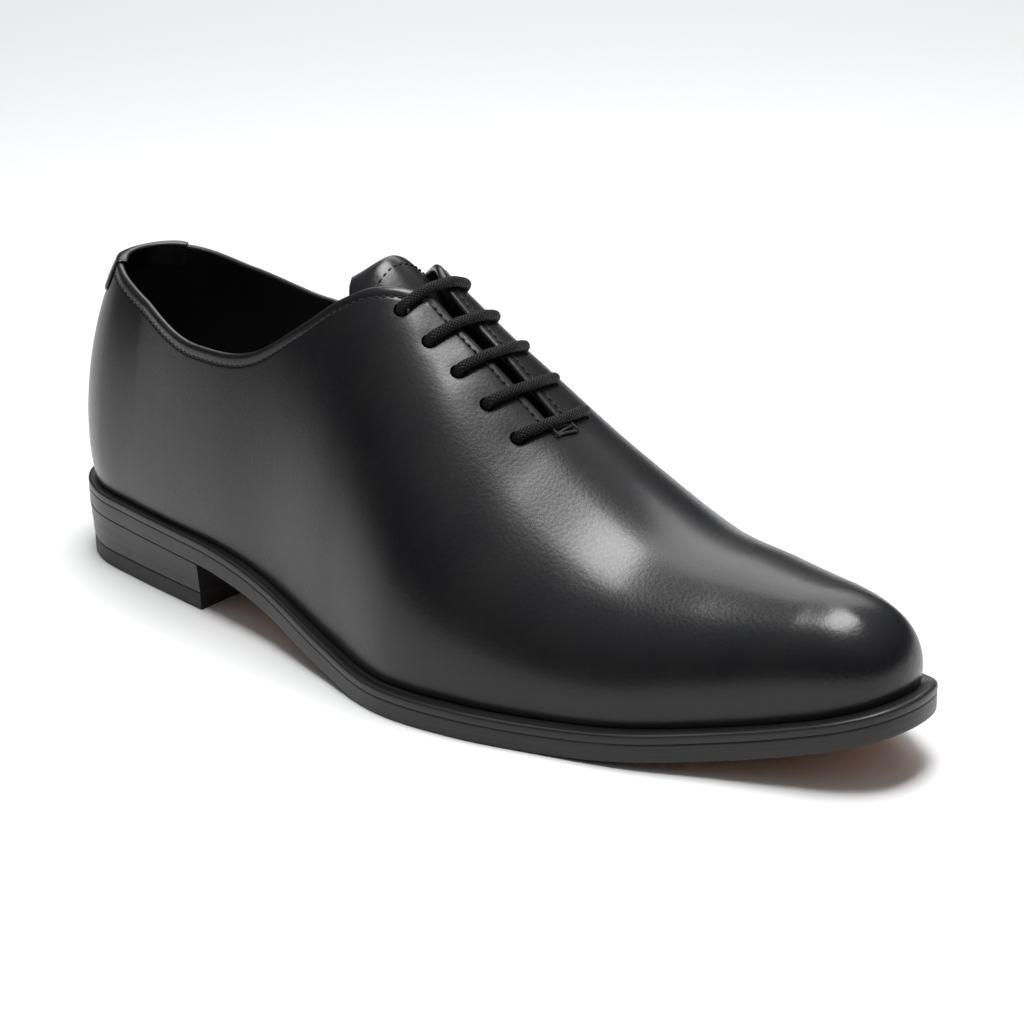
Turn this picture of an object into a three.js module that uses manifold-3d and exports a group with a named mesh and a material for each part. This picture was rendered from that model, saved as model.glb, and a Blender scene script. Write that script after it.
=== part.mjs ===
// A plain one-piece lace-up dress shoe for the right foot. All lengths are in millimetres.
// The toe points along +X, the inner side of the foot is +Y and up is +Z.
import * as THREE from 'three';
import { mergeVertices } from 'three/addons/utils/BufferGeometryUtils.js';
import Module from 'manifold-3d';

const wasm = await Module();
wasm.setup();

// Sizes of the last
const soleLength = 300;
const ballWidth = 108;
const heelWidth = 62;
const instepHeight = 101;
const collarHeight = 67;
const collarLift = 4.2;
const toeSpring = 14.8;
const heelHeight = 14.3;
const heelLength = 77.5;
const seatSlope = 0.03;
const fanHeel = 45;
const fanToe = 28;

// Leather, sole layers and the clearance between pieces
const upperWall = 2;
const lastingMargin = 12;
const insoleThickness = 2.6;
const weltThickness = 2.3;
const weltReach = 4.2;
const seatReach = 2.5;
const outsoleThickness = 5;
const topPieceThickness = 5.2;
const heelTaper = 0.8;
const breastHollow = 2;
const seam = 0.3;

// Lacing, tongue and heel tab
const slitWidth = 6;
const slitEndWidth = 3.4;
const slitLength = 38;
const eyeletDiameter = 4.6;
const eyeletOffset = 13.3;
const eyeletPitch = 9.5;
const eyeletPairs = 5;
const laceDiameter = 3.2;
const laceBow = 2;
const tongueThickness = 1.8;
const tongueWidth = 52;
const tongueAbove = 17;
const tongueBelow = 9;
const tongueDrop = 3.8;
const tabWidth = 27;
const tabHeight = 10;
const tabInside = 7;
const tabThickness = 1;

// Fineness of the faceted surfaces
const columnSpacing = 9;
const wallRows = 13;
const cordSides = 8;

// Edge of the sole: places along the sole, and half widths of the two sides as shares of a width
const outlineRows = [
  { at: 0.007, of: heelWidth, outer: 0.156, inner: 0.173 },
  { at: 0.030, of: heelWidth, outer: 0.307, inner: 0.326 },
  { at: 0.073, of: heelWidth, outer: 0.432, inner: 0.447 },
  { at: 0.140, of: heelWidth, outer: 0.499, inner: 0.508 },
  { at: 0.207, of: heelWidth, outer: 0.548, inner: 0.506 },
  { at: 0.283, of: ballWidth, outer: 0.344, inner: 0.274 },
  { at: 0.367, of: ballWidth, outer: 0.379, inner: 0.270 },
  { at: 0.467, of: ballWidth, outer: 0.452, inner: 0.320 },
  { at: 0.567, of: ballWidth, outer: 0.523, inner: 0.415 },
  { at: 0.650, of: ballWidth, outer: 0.507, inner: 0.471 },
  { at: 0.727, of: ballWidth, outer: 0.452, inner: 0.461 },
  { at: 0.800, of: ballWidth, outer: 0.390, inner: 0.396 },
  { at: 0.867, of: ballWidth, outer: 0.306, inner: 0.315 },
  { at: 0.923, of: ballWidth, outer: 0.240, inner: 0.239 },
  { at: 0.963, of: ballWidth, outer: 0.188, inner: 0.176 },
  { at: 0.990, of: ballWidth, outer: 0.118, inner: 0.106 },
];

// Top line of the last: its height over the welt and its shift to the inner side
const ridgeRows = [
  { at: 0.150, height: 0.891, shift: 0 },
  { at: 0.250, height: 1.073, shift: -0.038 },
  { at: 0.333, height: 1.064, shift: -0.071 },
  { at: 0.400, height: 1.016, shift: -0.088 },
  { at: 0.467, height: 0.994, shift: -0.092 },
  { at: 0.550, height: 0.828, shift: -0.075 },
  { at: 0.650, height: 0.588, shift: -0.046 },
  { at: 0.750, height: 0.410, shift: -0.014 },
  { at: 0.833, height: 0.344, shift: -0.001 },
  { at: 0.907, height: 0.290, shift: -0.013 },
];

// Form of a cross section: how far the side bellies out, how high it stays steep, how wide and
// how high the crown's handle lies
const sectionRows = [
  { at: 0.000, belly: 0.061, steep: 0.26, crown: 0.85, crownRise: 0.96 },
  { at: 0.067, belly: 0.046, steep: 0.26, crown: 0.84, crownRise: 0.93 },
  { at: 0.150, belly: 0.034, steep: 0.28, crown: 0.82, crownRise: 0.94 },
  { at: 0.250, belly: 0.029, steep: 0.30, crown: 0.80, crownRise: 0.96 },
  { at: 0.350, belly: 0.021, steep: 0.31, crown: 0.69, crownRise: 1 },
  { at: 0.450, belly: 0.030, steep: 0.35, crown: 0.61, crownRise: 1 },
  { at: 0.550, belly: 0.038, steep: 0.42, crown: 0.57, crownRise: 1 },
  { at: 0.650, belly: 0.036, steep: 0.49, crown: 0.53, crownRise: 1 },
  { at: 0.750, belly: 0.026, steep: 0.54, crown: 0.54, crownRise: 1 },
  { at: 0.833, belly: 0.027, steep: 0.59, crown: 0.60, crownRise: 1 },
  { at: 0.907, belly: 0.027, steep: 0.62, crown: 0.62, crownRise: 1 },
  { at: 1.000, belly: 0.027, steep: 0.65, crown: 0.62, crownRise: 1 },
];

// Collar line: height over the welt on the outer side, and how much of the lift the inner side has
const collarRows = [
  { at: 0.000, of: collarHeight, height: 1.003, lift: 0 },
  { at: 0.067, of: collarHeight, height: 1.024, lift: 0.44 },
  { at: 0.150, of: collarHeight, height: 0.927, lift: 0.86 },
  { at: 0.250, of: collarHeight, height: 0.845, lift: 1 },
  { at: 0.333, of: collarHeight, height: 0.919, lift: 0.76 },
  { at: 0.400, of: instepHeight, height: 0.765, lift: 0.45 },
  { at: 0.440, of: instepHeight, height: 0.872, lift: 0.50 },
  { at: 0.467, of: instepHeight, height: 0.919, lift: 0.95 },
  { at: 0.483, of: instepHeight, height: 0.925, lift: 1.25 },
  { at: 0.500, of: instepHeight, height: 0.916, lift: 1.2 },
  { at: 0.513, of: instepHeight, height: 0.902, lift: 0.8 },
  { at: 0.540, of: instepHeight, height: 0.885, lift: 0 },
];

// Places along the sole, as shares of its length
const treadStart = 0.555 * soleLength;
const treadEnd = 0.695 * soleLength;
const throatFront = 0.507 * soleLength;
const spineStart = fanHeel;
const spineEnd = soleLength - fanToe;
const toeTipShift = -0.013 * ballWidth;

/** Smooth curve through points given as [x, y] pairs in rising x, level with the ends outside them. */
function smoothCurve(points) {
  const last = points.length - 1;
  const steps = points.slice(1).map(([x], i) => x - points[i][0]);
  const rises = steps.map((step, i) => (points[i + 1][1] - points[i][1]) / step);
  const slopes = points.map((_, i) => {
    if (i === 0) return rises[0];
    if (i === last) return rises[last - 1];
    return (rises[i - 1] * steps[i] + rises[i] * steps[i - 1]) / (steps[i - 1] + steps[i]);
  });
  return (place) => {
    const x = THREE.MathUtils.clamp(place, points[0][0], points[last][0]);
    let i = 0;
    while (i < last - 1 && x > points[i + 1][0]) i += 1;
    const u = (x - points[i][0]) / steps[i];
    const start = (2 * u ** 3 - 3 * u ** 2 + 1) * points[i][1];
    const end = (3 * u ** 2 - 2 * u ** 3) * points[i + 1][1];
    const lead = (u ** 3 - 2 * u ** 2 + u) * steps[i] * slopes[i];
    const trail = (u ** 3 - u ** 2) * steps[i] * slopes[i + 1];
    return start + end + lead + trail;
  };
}

/** Curve along the sole through one column of a table, scaled by a size or by the row's own size. */
function tableCurve(rows, column, size) {
  return smoothCurve(rows.map((row) => [row.at * soleLength, row[column] * (size ?? row.of)]));
}

/** Value where a steadily rising function of one number reaches a goal. */
function solve(rising, goal, low, high) {
  let [from, to] = [low, high];
  for (let i = 0; i < 40; i += 1) {
    const middle = (from + to) / 2;
    if (rising(middle) < goal) from = middle;
    else to = middle;
  }
  return (from + to) / 2;
}

const ridgeRise = tableCurve(ridgeRows, 'height', instepHeight);
const ridgeShift = tableCurve(ridgeRows, 'shift', ballWidth);
const belly = tableCurve(sectionRows, 'belly', ballWidth);
const steep = tableCurve(sectionRows, 'steep', 1);
const crown = tableCurve(sectionRows, 'crown', 1);
const crownRise = tableCurve(sectionRows, 'crownRise', 1);
const collarRise = tableCurve(collarRows, 'height');
const liftShare = tableCurve(collarRows, 'lift', 1);
const edgeReach = smoothCurve([
  [0.2 * soleLength, seatReach],
  [0.62 * soleLength, weltReach],
]);

/** Height of the outsole's underside: heel seat, shank, flat tread and toe spring. */
function undersideHeight(x) {
  if (x < heelLength) return heelHeight + seatSlope * (heelLength - x);
  if (x < treadStart) {
    const run = treadStart - heelLength;
    const u = (x - heelLength) / run;
    const fall = heelHeight * (2 * u ** 3 - 3 * u ** 2 + 1);
    return fall - seatSlope * run * (u ** 3 - 2 * u ** 2 + u);
  }
  if (x > treadEnd) return toeSpring * ((x - treadEnd) / (soleLength - treadEnd)) ** 2;
  return 0;
}

const outsoleTop = (x) => undersideHeight(x) + outsoleThickness;
const weltBottom = (x) => outsoleTop(x) + seam;
const weltTop = (x) => weltBottom(x) + weltThickness;
const upperBottom = (x) => weltTop(x) + seam;
const marginTop = (x) => upperBottom(x) + upperWall;
const insoleBottom = (x) => marginTop(x) + seam;
const insoleTop = (x) => insoleBottom(x) + insoleThickness;

/** Collar line's height at a place in plan. */
function collarLine(x, y) {
  const lift = liftShare(x) * collarLift * (y / heelWidth + 0.5);
  return upperBottom(Math.max(x, 0)) + collarRise(x) + lift;
}

// Closed edge of the sole, from the back of the heel along the outer side to the toe and back
const lastStation = outlineRows.length + 1;
const outline = new THREE.CatmullRomCurve3([
  new THREE.Vector3(0, 0, 0),
  ...outlineRows.map((row) => new THREE.Vector3(row.at * soleLength, -row.outer * row.of, 0)),
  new THREE.Vector3(soleLength, toeTipShift, 0),
  ...outlineRows.toReversed().map((row) => (
    new THREE.Vector3(row.at * soleLength, row.inner * row.of, 0)
  )),
], true, 'centripetal');

/** Point of the sole's edge at a station: positive on the outer side, negative on the inner side. */
function edgeAt(station) {
  const share = station / (2 * lastStation);
  const point = outline.getPoint(((share % 1) + 1) % 1);
  return new THREE.Vector2(point.x, point.y);
}

/** Point at a distance inside the sole's edge, square to it. */
function insetEdge(station, inset) {
  const nudge = 0.01;
  const along = edgeAt(station + nudge).sub(edgeAt(station - nudge)).normalize();
  return edgeAt(station).add(new THREE.Vector2(-along.y, along.x).multiplyScalar(inset));
}

/** Foot of the upper on the welt, the top line's point over it and the distance between the two. */
function column(station) {
  const foot = insetEdge(station, edgeReach(edgeAt(station).x));
  const mate = insetEdge(-station, edgeReach(edgeAt(-station).x));
  const spineX = THREE.MathUtils.clamp((foot.x + mate.x) / 2, spineStart, spineEnd);
  const spine = new THREE.Vector2(spineX, ridgeShift(spineX));
  const outward = foot.clone().sub(spine);
  const radius = outward.length();
  return { foot, spine, outward: outward.normalize(), radius };
}

/** Point of the last's surface at a station, from the welt (rise 0) to its top line (rise 1). */
function skin(station, rise) {
  const { foot, spine, outward, radius } = column(station);
  const low = upperBottom(foot.x);
  const height = upperBottom(spine.x) + ridgeRise(spine.x) - low;
  const fall = 1 - rise;
  const [b0, b1, b2, b3] = [fall ** 3, 3 * rise * fall ** 2, 3 * rise ** 2 * fall, rise ** 3];
  const side = radius + belly(foot.x);
  const across = b0 * radius + b1 * side + b2 * crown(foot.x) * radius;
  const up = (b1 * steep(foot.x) + b2 * crownRise(foot.x) + b3) * height;
  return new THREE.Vector3(spine.x + outward.x * across, spine.y + outward.y * across, low + up);
}

/** Point of the upper's foot line moved towards the middle of the shoe. */
function inward(station, distance) {
  const { foot, outward, radius } = column(station);
  return foot.clone().addScaledVector(outward, -Math.min(distance, 0.8 * radius));
}

/** Stations of one side, a few to each row of the outline table. */
function sideStations() {
  const stations = [];
  for (let row = 0; row < lastStation; row += 1) {
    const length = edgeAt(row + 1).distanceTo(edgeAt(row));
    const parts = Math.max(2, Math.round(length / columnSpacing));
    for (let part = 0; part < parts; part += 1) stations.push(row + part / parts);
  }
  return stations;
}

const oneSide = sideStations();
const allStations = [...oneSide, lastStation, ...oneSide.slice(1).reverse().map((s) => -s)];

/** Triangles gathered by their corners, without the ones that have collapsed. */
class Facets {
  constructor() {
    this.corners = [];
  }

  face(a, b, c) {
    const least = 1e-4;
    const flat = a.distanceTo(b) < least || b.distanceTo(c) < least || c.distanceTo(a) < least;
    if (!flat) this.corners.push(a, b, c);
  }

  quad(a, b, c, d) {
    this.face(a, b, c);
    this.face(a, c, d);
  }

  /** Band between two closed rings, the second one above or inside the first. */
  band(lower, upper) {
    lower.forEach((corner, i) => {
      const next = (i + 1) % lower.length;
      this.quad(corner, lower[next], upper[next], upper[i]);
    });
  }

  /** Upward lid over a ring of paired sides that starts at its back end. */
  ladder(ring, facingDown) {
    const half = ring.length / 2;
    for (let i = 0; i < half; i += 1) {
      const mate = (ring.length - i) % ring.length;
      const corners = [ring[i], ring[i + 1], ring[ring.length - i - 1], ring[mate]];
      if (facingDown) corners.reverse();
      this.quad(...corners);
    }
  }

  /** Flat lid over any ring. */
  lid(ring, facingDown) {
    const contour = ring.map((corner) => new THREE.Vector2(corner.x, corner.y));
    THREE.ShapeUtils.triangulateShape(contour, []).forEach(([a, b, c]) => {
      if (facingDown) this.face(ring[a], ring[c], ring[b]);
      else this.face(ring[a], ring[b], ring[c]);
    });
  }

  geometry() {
    const geometry = new THREE.BufferGeometry().setFromPoints(this.corners);
    return mergeVertices(geometry, 1e-4);
  }
}

/** Ring of points in space over a ring in plan. */
function raise(ring, height) {
  return ring.map((point) => new THREE.Vector3(point.x, point.y, height(point.x, point.y)));
}

/** Closed geometry as a solid for boolean work. */
function toSolid(geometry) {
  const bare = geometry.clone();
  bare.deleteAttribute('normal');
  bare.deleteAttribute('uv');
  const merged = mergeVertices(bare, 1e-4);
  return new wasm.Manifold(new wasm.Mesh({
    numProp: 3,
    vertProperties: new Float32Array(merged.attributes.position.array),
    triVerts: new Uint32Array(merged.index.array),
  }));
}

/** Boolean result as a geometry. */
function toGeometry(solid) {
  const mesh = solid.getMesh();
  const geometry = new THREE.BufferGeometry();
  geometry.setAttribute('position', new THREE.BufferAttribute(mesh.vertProperties, mesh.numProp));
  geometry.setIndex(new THREE.BufferAttribute(mesh.triVerts, 1));
  return geometry;
}

/** Layer of the sole between two heights along a ring of paired sides. */
function layer(ring, bottom, top) {
  const facets = new Facets();
  const low = raise(ring, bottom);
  const high = raise(ring, top);
  facets.band(low, high);
  facets.ladder(high, false);
  facets.ladder(low, true);
  return facets.geometry();
}

/** Ring-shaped layer between two heights, open in the middle. */
function ringLayer(outerRing, innerRing, bottom, top) {
  const facets = new Facets();
  const [low, high] = [raise(outerRing, bottom), raise(outerRing, top)];
  const [lowInside, highInside] = [raise(innerRing, bottom), raise(innerRing, top)];
  facets.band(low, high);
  facets.band(high, highInside);
  facets.band(highInside, lowInside);
  facets.band(lowInside, low);
  return facets.geometry();
}

/** Block between two rings of any outline, with flat lids. */
function block(lowRing, highRing, bottom, top) {
  const facets = new Facets();
  const low = raise(lowRing, bottom);
  const high = raise(highRing, top);
  facets.band(low, high);
  facets.lid(high, false);
  facets.lid(low, true);
  return facets.geometry();
}

/** Last's surface as rows of rings, from the welt to the top line. */
function lastRings() {
  return Array.from({ length: wallRows + 1 }, (_, row) => (
    allStations.map((station) => skin(station, row / wallRows))
  ));
}

/** Direction out of the last's surface at each point of its rings. */
function ringNormals(rings) {
  const sums = new Map();
  const key = (p) => [p.x, p.y, p.z].map((value) => value.toFixed(3)).join();
  const add = (corners) => {
    const [a, b, c] = corners;
    const normal = b.clone().sub(a).cross(c.clone().sub(a));
    corners.forEach((corner) => {
      const name = key(corner);
      if (!sums.has(name)) sums.set(name, new THREE.Vector3());
      sums.get(name).add(normal);
    });
  };
  for (let row = 0; row < wallRows; row += 1) {
    rings[row].forEach((a, i) => {
      const next = (i + 1) % rings[row].length;
      const [b, c, d] = [rings[row][next], rings[row + 1][next], rings[row + 1][i]];
      add([a, b, c]);
      add([a, c, d]);
    });
  }
  return rings.map((ring) => ring.map((point) => sums.get(key(point)).clone().normalize()));
}

/** Solid inside the last's surface, standing at a given height. */
function lastSolid(rings, bottom) {
  const facets = new Facets();
  const rows = [raise(rings[0], bottom), ...rings.slice(1)];
  for (let row = 0; row < wallRows; row += 1) facets.band(rows[row], rows[row + 1]);
  facets.ladder(rows[0], true);
  return toSolid(facets.geometry());
}

/** Everything above the collar line. */
function collarCutter() {
  const reach = ballWidth;
  const top = 2 * instepHeight;
  const firstX = -0.1 * soleLength;
  const lastX = 0.54 * soleLength;
  const cuts = 36;
  const facets = new Facets();
  const xs = Array.from({ length: cuts + 1 }, (_, i) => firstX + (lastX - firstX) * (i / cuts));
  const wallAt = (y) => {
    const under = xs.map((x) => new THREE.Vector3(x, y, collarLine(x, y)));
    const over = xs.map((x) => new THREE.Vector3(x, y, top)).reverse();
    return [...under, ...over];
  };
  const [near, far] = [wallAt(-reach), wallAt(reach)];
  facets.band(far, near);
  for (let i = 0; i < cuts; i += 1) {
    const above = near.length - 1 - i;
    facets.quad(near[i], near[i + 1], near[above - 1], near[above]);
    facets.quad(far[above], far[above - 1], far[i + 1], far[i]);
  }
  return toSolid(facets.geometry());
}

/** Station whose section crosses the top line at x. */
function stationAt(x) {
  return solve((station) => {
    const feet = column(station).foot.x + column(-station).foot.x;
    return feet / 2;
  }, x, 0, lastStation);
}

/** Point of the instep by its place on the top line, its distance from that line and its depth. */
function instep(x, offset, depth) {
  const surface = (placeX, aside) => {
    const station = stationAt(placeX) * (aside < 0 ? 1 : -1);
    const crest = skin(station, 1);
    const nearness = (rise) => -skin(station, rise).distanceTo(crest);
    return skin(station, solve(nearness, -Math.abs(aside), 0.3, 1));
  };
  const nudge = 0.5;
  const along = surface(x + nudge, offset).sub(surface(x - nudge, offset));
  const across = surface(x, offset + nudge).sub(surface(x, offset - nudge));
  return surface(x, offset).addScaledVector(along.cross(across).normalize(), -depth);
}

/** Vertical cutter for the lacing slit, on the top line. */
function slitCutter() {
  const steps = 6;
  const start = throatFront - slitWidth;
  const end = throatFront + slitLength;
  const left = [];
  const right = [];
  for (let i = 0; i <= steps; i += 1) {
    const x = start + (end - start) * (i / steps);
    const half = (i === steps ? slitEndWidth : slitWidth) / 2;
    left.push(new THREE.Vector2(x, ridgeShift(x) + half));
    right.push(new THREE.Vector2(x, ridgeShift(x) - half));
  }
  const ring = [...right, ...left.reverse()];
  const base = upperBottom(end) + ridgeRise(end) - 5 * upperWall;
  return toSolid(block(ring, ring, () => base, () => 2 * instepHeight));
}

const eyeletXs = Array.from({ length: eyeletPairs }, (_, i) => (
  throatFront - 0.6 * eyeletDiameter + eyeletPitch * i
));

/** Round cutter for the lace hole at a place on the instep. */
function eyeletCutter(x, offset) {
  const sides = 12;
  const length = 4 * upperWall;
  const cylinder = new THREE.CylinderGeometry(eyeletDiameter / 2, eyeletDiameter / 2, length, sides);
  const middle = instep(x, offset, upperWall / 2);
  const axis = instep(x, offset, 0).sub(instep(x, offset, upperWall)).normalize();
  cylinder.applyQuaternion(new THREE.Quaternion().setFromUnitVectors(THREE.Object3D.DEFAULT_UP, axis));
  cylinder.translate(middle.x, middle.y, middle.z);
  return toSolid(cylinder);
}

/** Hollow upper: its wall, turned-in margin, collar, slit and lace holes. */
function upperGeometry() {
  const rings = lastRings();
  const normals = ringNormals(rings);
  const insideRings = rings.map((ring, row) => ring.map((point, i) => (
    point.clone().addScaledVector(normals[row][i], -upperWall)
  )));
  const opening = allStations.map((station) => inward(station, lastingMargin));
  const below = (x) => upperBottom(x) - upperWall;
  let upper = lastSolid(rings, upperBottom)
    .subtract(lastSolid(insideRings, marginTop))
    .subtract(toSolid(layer(opening, below, insoleTop)))
    .subtract(collarCutter())
    .subtract(slitCutter());
  eyeletXs.forEach((x) => {
    upper = upper.subtract(eyeletCutter(x, -eyeletOffset));
    upper = upper.subtract(eyeletCutter(x, eyeletOffset));
  });
  return toGeometry(upper);
}

/** Sheet between two depths under a grid of places on the instep. */
function instepSheet(xs, offsetsAt, upperDepth, lowerDepth) {
  const facets = new Facets();
  const tops = xs.map((x) => offsetsAt(x).map((offset) => instep(x, offset, upperDepth(x))));
  const bottoms = xs.map((x) => offsetsAt(x).map((offset) => instep(x, offset, lowerDepth(x))));
  const [rows, columns] = [xs.length - 1, tops[0].length - 1];
  for (let i = 0; i < rows; i += 1) {
    for (let j = 0; j < columns; j += 1) {
      facets.quad(tops[i][j], tops[i + 1][j], tops[i + 1][j + 1], tops[i][j + 1]);
      facets.quad(bottoms[i][j], bottoms[i][j + 1], bottoms[i + 1][j + 1], bottoms[i + 1][j]);
    }
    facets.quad(bottoms[i][0], bottoms[i + 1][0], tops[i + 1][0], tops[i][0]);
    facets.quad(tops[i][columns], tops[i + 1][columns], bottoms[i + 1][columns], bottoms[i][columns]);
  }
  for (let j = 0; j < columns; j += 1) {
    facets.quad(bottoms[0][j + 1], bottoms[0][j], tops[0][j], tops[0][j + 1]);
    facets.quad(tops[rows][j + 1], tops[rows][j], bottoms[rows][j], bottoms[rows][j + 1]);
  }
  return facets.geometry();
}

/** Tongue under the slit, rising above the throat, with rounded upper corners. */
function tongueGeometry() {
  const [rows, columns] = [12, 8];
  const start = throatFront - tongueAbove;
  const end = throatFront + slitLength + tongueBelow;
  const xs = Array.from({ length: rows + 1 }, (_, i) => start + (end - start) * (i / rows));
  const rounding = 0.6 * tongueAbove;
  const offsetsAt = (x) => {
    const corner = Math.max(0, 1 - (x - start) / rounding);
    const half = (tongueWidth / 2) * (1 - 0.45 * corner ** 2);
    return Array.from({ length: columns + 1 }, (_, j) => half * (2 * j / columns - 1));
  };
  const drop = smoothCurve([
    [start, tongueDrop / 2],
    [throatFront - tongueAbove / 3, tongueDrop],
    [throatFront + slitLength - tongueBelow, tongueDrop],
    [end, 2 * seam],
  ]);
  const depth = (x) => upperWall + drop(x);
  return instepSheet(xs, offsetsAt, depth, (x) => depth(x) + tongueThickness);
}

/** One lace bar over the slit, from over one lace hole to over the other, bowed towards the toe. */
function laceBarGeometry(x) {
  const radius = laceDiameter / 2;
  const rest = -(radius + seam);
  const half = [
    [-eyeletOffset, -2 * seam],
    [-eyeletOffset + 0.5 * radius, -1.1 * radius],
    [-eyeletOffset + 2.2 * radius, rest],
    [-eyeletOffset / 2, rest - 0.5 * seam],
  ];
  const mirrored = half.toReversed().map(([offset, depth]) => [-offset, depth]);
  const spots = [...half, [0, rest], ...mirrored];
  const path = new THREE.CatmullRomCurve3(
    spots.map(([offset, depth]) => {
      const bow = laceBow * (1 - (offset / eyeletOffset) ** 2);
      return instep(x + bow, offset, depth);
    }),
  );
  const section = new THREE.Shape().absarc(0, 0, radius, 0, 2 * Math.PI);
  return new THREE.ExtrudeGeometry(section, {
    steps: 14,
    curveSegments: cordSides / 2,
    extrudePath: path,
  });
}

/** Point at a height on the last's surface moved in by a depth, at a station. */
function wallPoint(station, height, depth) {
  const nudge = 0.02;
  const moved = (rise) => {
    const around = skin(station + nudge, rise).sub(skin(station - nudge, rise));
    const up = skin(station, rise + nudge).sub(skin(station, rise - nudge));
    return skin(station, rise).addScaledVector(around.cross(up).normalize(), -depth);
  };
  return moved(solve((rise) => moved(rise).z, height, nudge, 0.95));
}

/** Small tab folded over the back of the collar, inside and outside. */
function heelTabGeometry() {
  const halfColumns = 5;
  const rimOf = (station, depth) => {
    const point = wallPoint(station, collarLine(0, 0), depth);
    return collarLine(point.x, point.y);
  };
  const rimPoint = (station) => wallPoint(station, rimOf(station, 0), 0);
  const widthAt = (station) => rimPoint(station).distanceTo(rimPoint(-station));
  const lastColumn = solve(widthAt, tabWidth, 0, 0.25 * lastStation);
  const outsideFace = -(seam + tabThickness);
  const insideFace = upperWall + seam + tabThickness;
  const profile = [
    [-seam, seam],
    [upperWall + seam, seam],
    [upperWall + seam, -tabInside],
    [insideFace, -tabInside],
    [insideFace, seam + 0.3 * tabThickness],
    [upperWall, seam + tabThickness],
    [0, seam + tabThickness],
    [outsideFace, seam + 0.3 * tabThickness],
    [outsideFace, -tabHeight],
    [-seam, -tabHeight],
  ];
  const sections = [];
  for (let i = -halfColumns; i <= halfColumns; i += 1) {
    const station = -lastColumn * (i / halfColumns);
    sections.push(profile.map(([depth, rise]) => (
      wallPoint(station, rimOf(station, depth) + rise, depth)
    )));
  }
  const facets = new Facets();
  for (let i = 0; i < 2 * halfColumns; i += 1) facets.band(sections[i + 1], sections[i]);
  const contour = profile.map(([depth, rise]) => new THREE.Vector2(depth, rise));
  THREE.ShapeUtils.triangulateShape(contour, []).forEach(([a, b, c]) => {
    const [first, last] = [sections[0], sections[2 * halfColumns]];
    facets.face(first[a], first[b], first[c]);
    facets.face(last[a], last[c], last[b]);
  });
  return facets.geometry();
}

/** Outline of the heel, cut off by its hollow breast, inside the sole's edge by an inset. */
function heelRing(inset) {
  const parts = 12;
  const outerEnd = solve((station) => insetEdge(station, inset).x, heelLength, 0, lastStation / 2);
  const innerEnd = solve((station) => insetEdge(-station, inset).x, heelLength, 0, lastStation / 2);
  const spread = (end, part) => end * (part / parts);
  const outer = Array.from({ length: parts + 1 }, (_, i) => insetEdge(spread(outerEnd, i), inset));
  const inner = Array.from({ length: parts }, (_, i) => insetEdge(-spread(innerEnd, parts - i), inset));
  const [from, to] = [outer[parts], inner[0]];
  const breast = [0.2, 0.4, 0.6, 0.8].map((share) => {
    const point = from.clone().lerp(to, share);
    point.x -= breastHollow * 4 * share * (1 - share);
    return point;
  });
  return [...outer, ...breast, ...inner];
}

const leather = { color: 0x0c0c0e, roughness: 0.34, metalness: 0 };
const edgeDressing = { color: 0x101012, roughness: 0.42, metalness: 0 };
const soleLeather = { color: 0x7a4a2c, roughness: 0.6, metalness: 0 };
const blackRubber = { color: 0x141415, roughness: 0.7, metalness: 0 };
const sockLeather = { color: 0x17130f, roughness: 0.65, metalness: 0 };
const waxedCotton = { color: 0x0a0a0b, roughness: 0.55, metalness: 0 };

const edgeRing = allStations.map((station) => edgeAt(station));
const centre = new THREE.Box2().setFromPoints(edgeRing).getCenter(new THREE.Vector2());
const shoe = new THREE.Group();
shoe.position.set(-centre.x, -centre.y, 0);

/** Adds one named piece to the shoe. */
function addPiece(name, geometry, finish) {
  const mesh = new THREE.Mesh(geometry, new THREE.MeshStandardMaterial(finish));
  mesh.name = name;
  shoe.add(mesh);
}

const weltInside = allStations.map((station) => inward(station, lastingMargin));
const insoleRing = allStations.map((station) => inward(station, upperWall + 4 * seam));
const stackTop = (x) => undersideHeight(x) - seam;
const stackBottom = () => topPieceThickness + seam;

addPiece('upper', upperGeometry(), leather);
addPiece('tongue', tongueGeometry(), leather);
addPiece('insole', layer(insoleRing, insoleBottom, insoleTop), sockLeather);
addPiece('welt', ringLayer(edgeRing, weltInside, weltBottom, weltTop), edgeDressing);
addPiece('outsole', layer(edgeRing, undersideHeight, outsoleTop), soleLeather);
addPiece('heel_stack', block(heelRing(heelTaper), heelRing(0), stackBottom, stackTop), edgeDressing);
addPiece(
  'heel_top_piece',
  block(heelRing(heelTaper), heelRing(heelTaper), () => 0, () => topPieceThickness),
  blackRubber,
);
addPiece('heel_tab', heelTabGeometry(), leather);
eyeletXs.forEach((x, i) => {
  addPiece(`lace_bar_${i + 1}`, laceBarGeometry(x), waxedCotton);
});

export default shoe;
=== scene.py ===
"""A plain one-piece lace-up dress shoe for the right foot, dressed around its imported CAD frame.

Shapes are worked out in millimetres in the shoe's own frame: the heel's tip at x = 0, the toe along
+X, the inner side of the foot along +Y and the floor at z = 0. Meshes are in metres, in the row frame.
"""

import logging
import math
from dataclasses import dataclass, field
from enum import Enum
from typing import Callable, Sequence

import bpy
import numpy as np
from mathutils import Matrix, Vector


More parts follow.
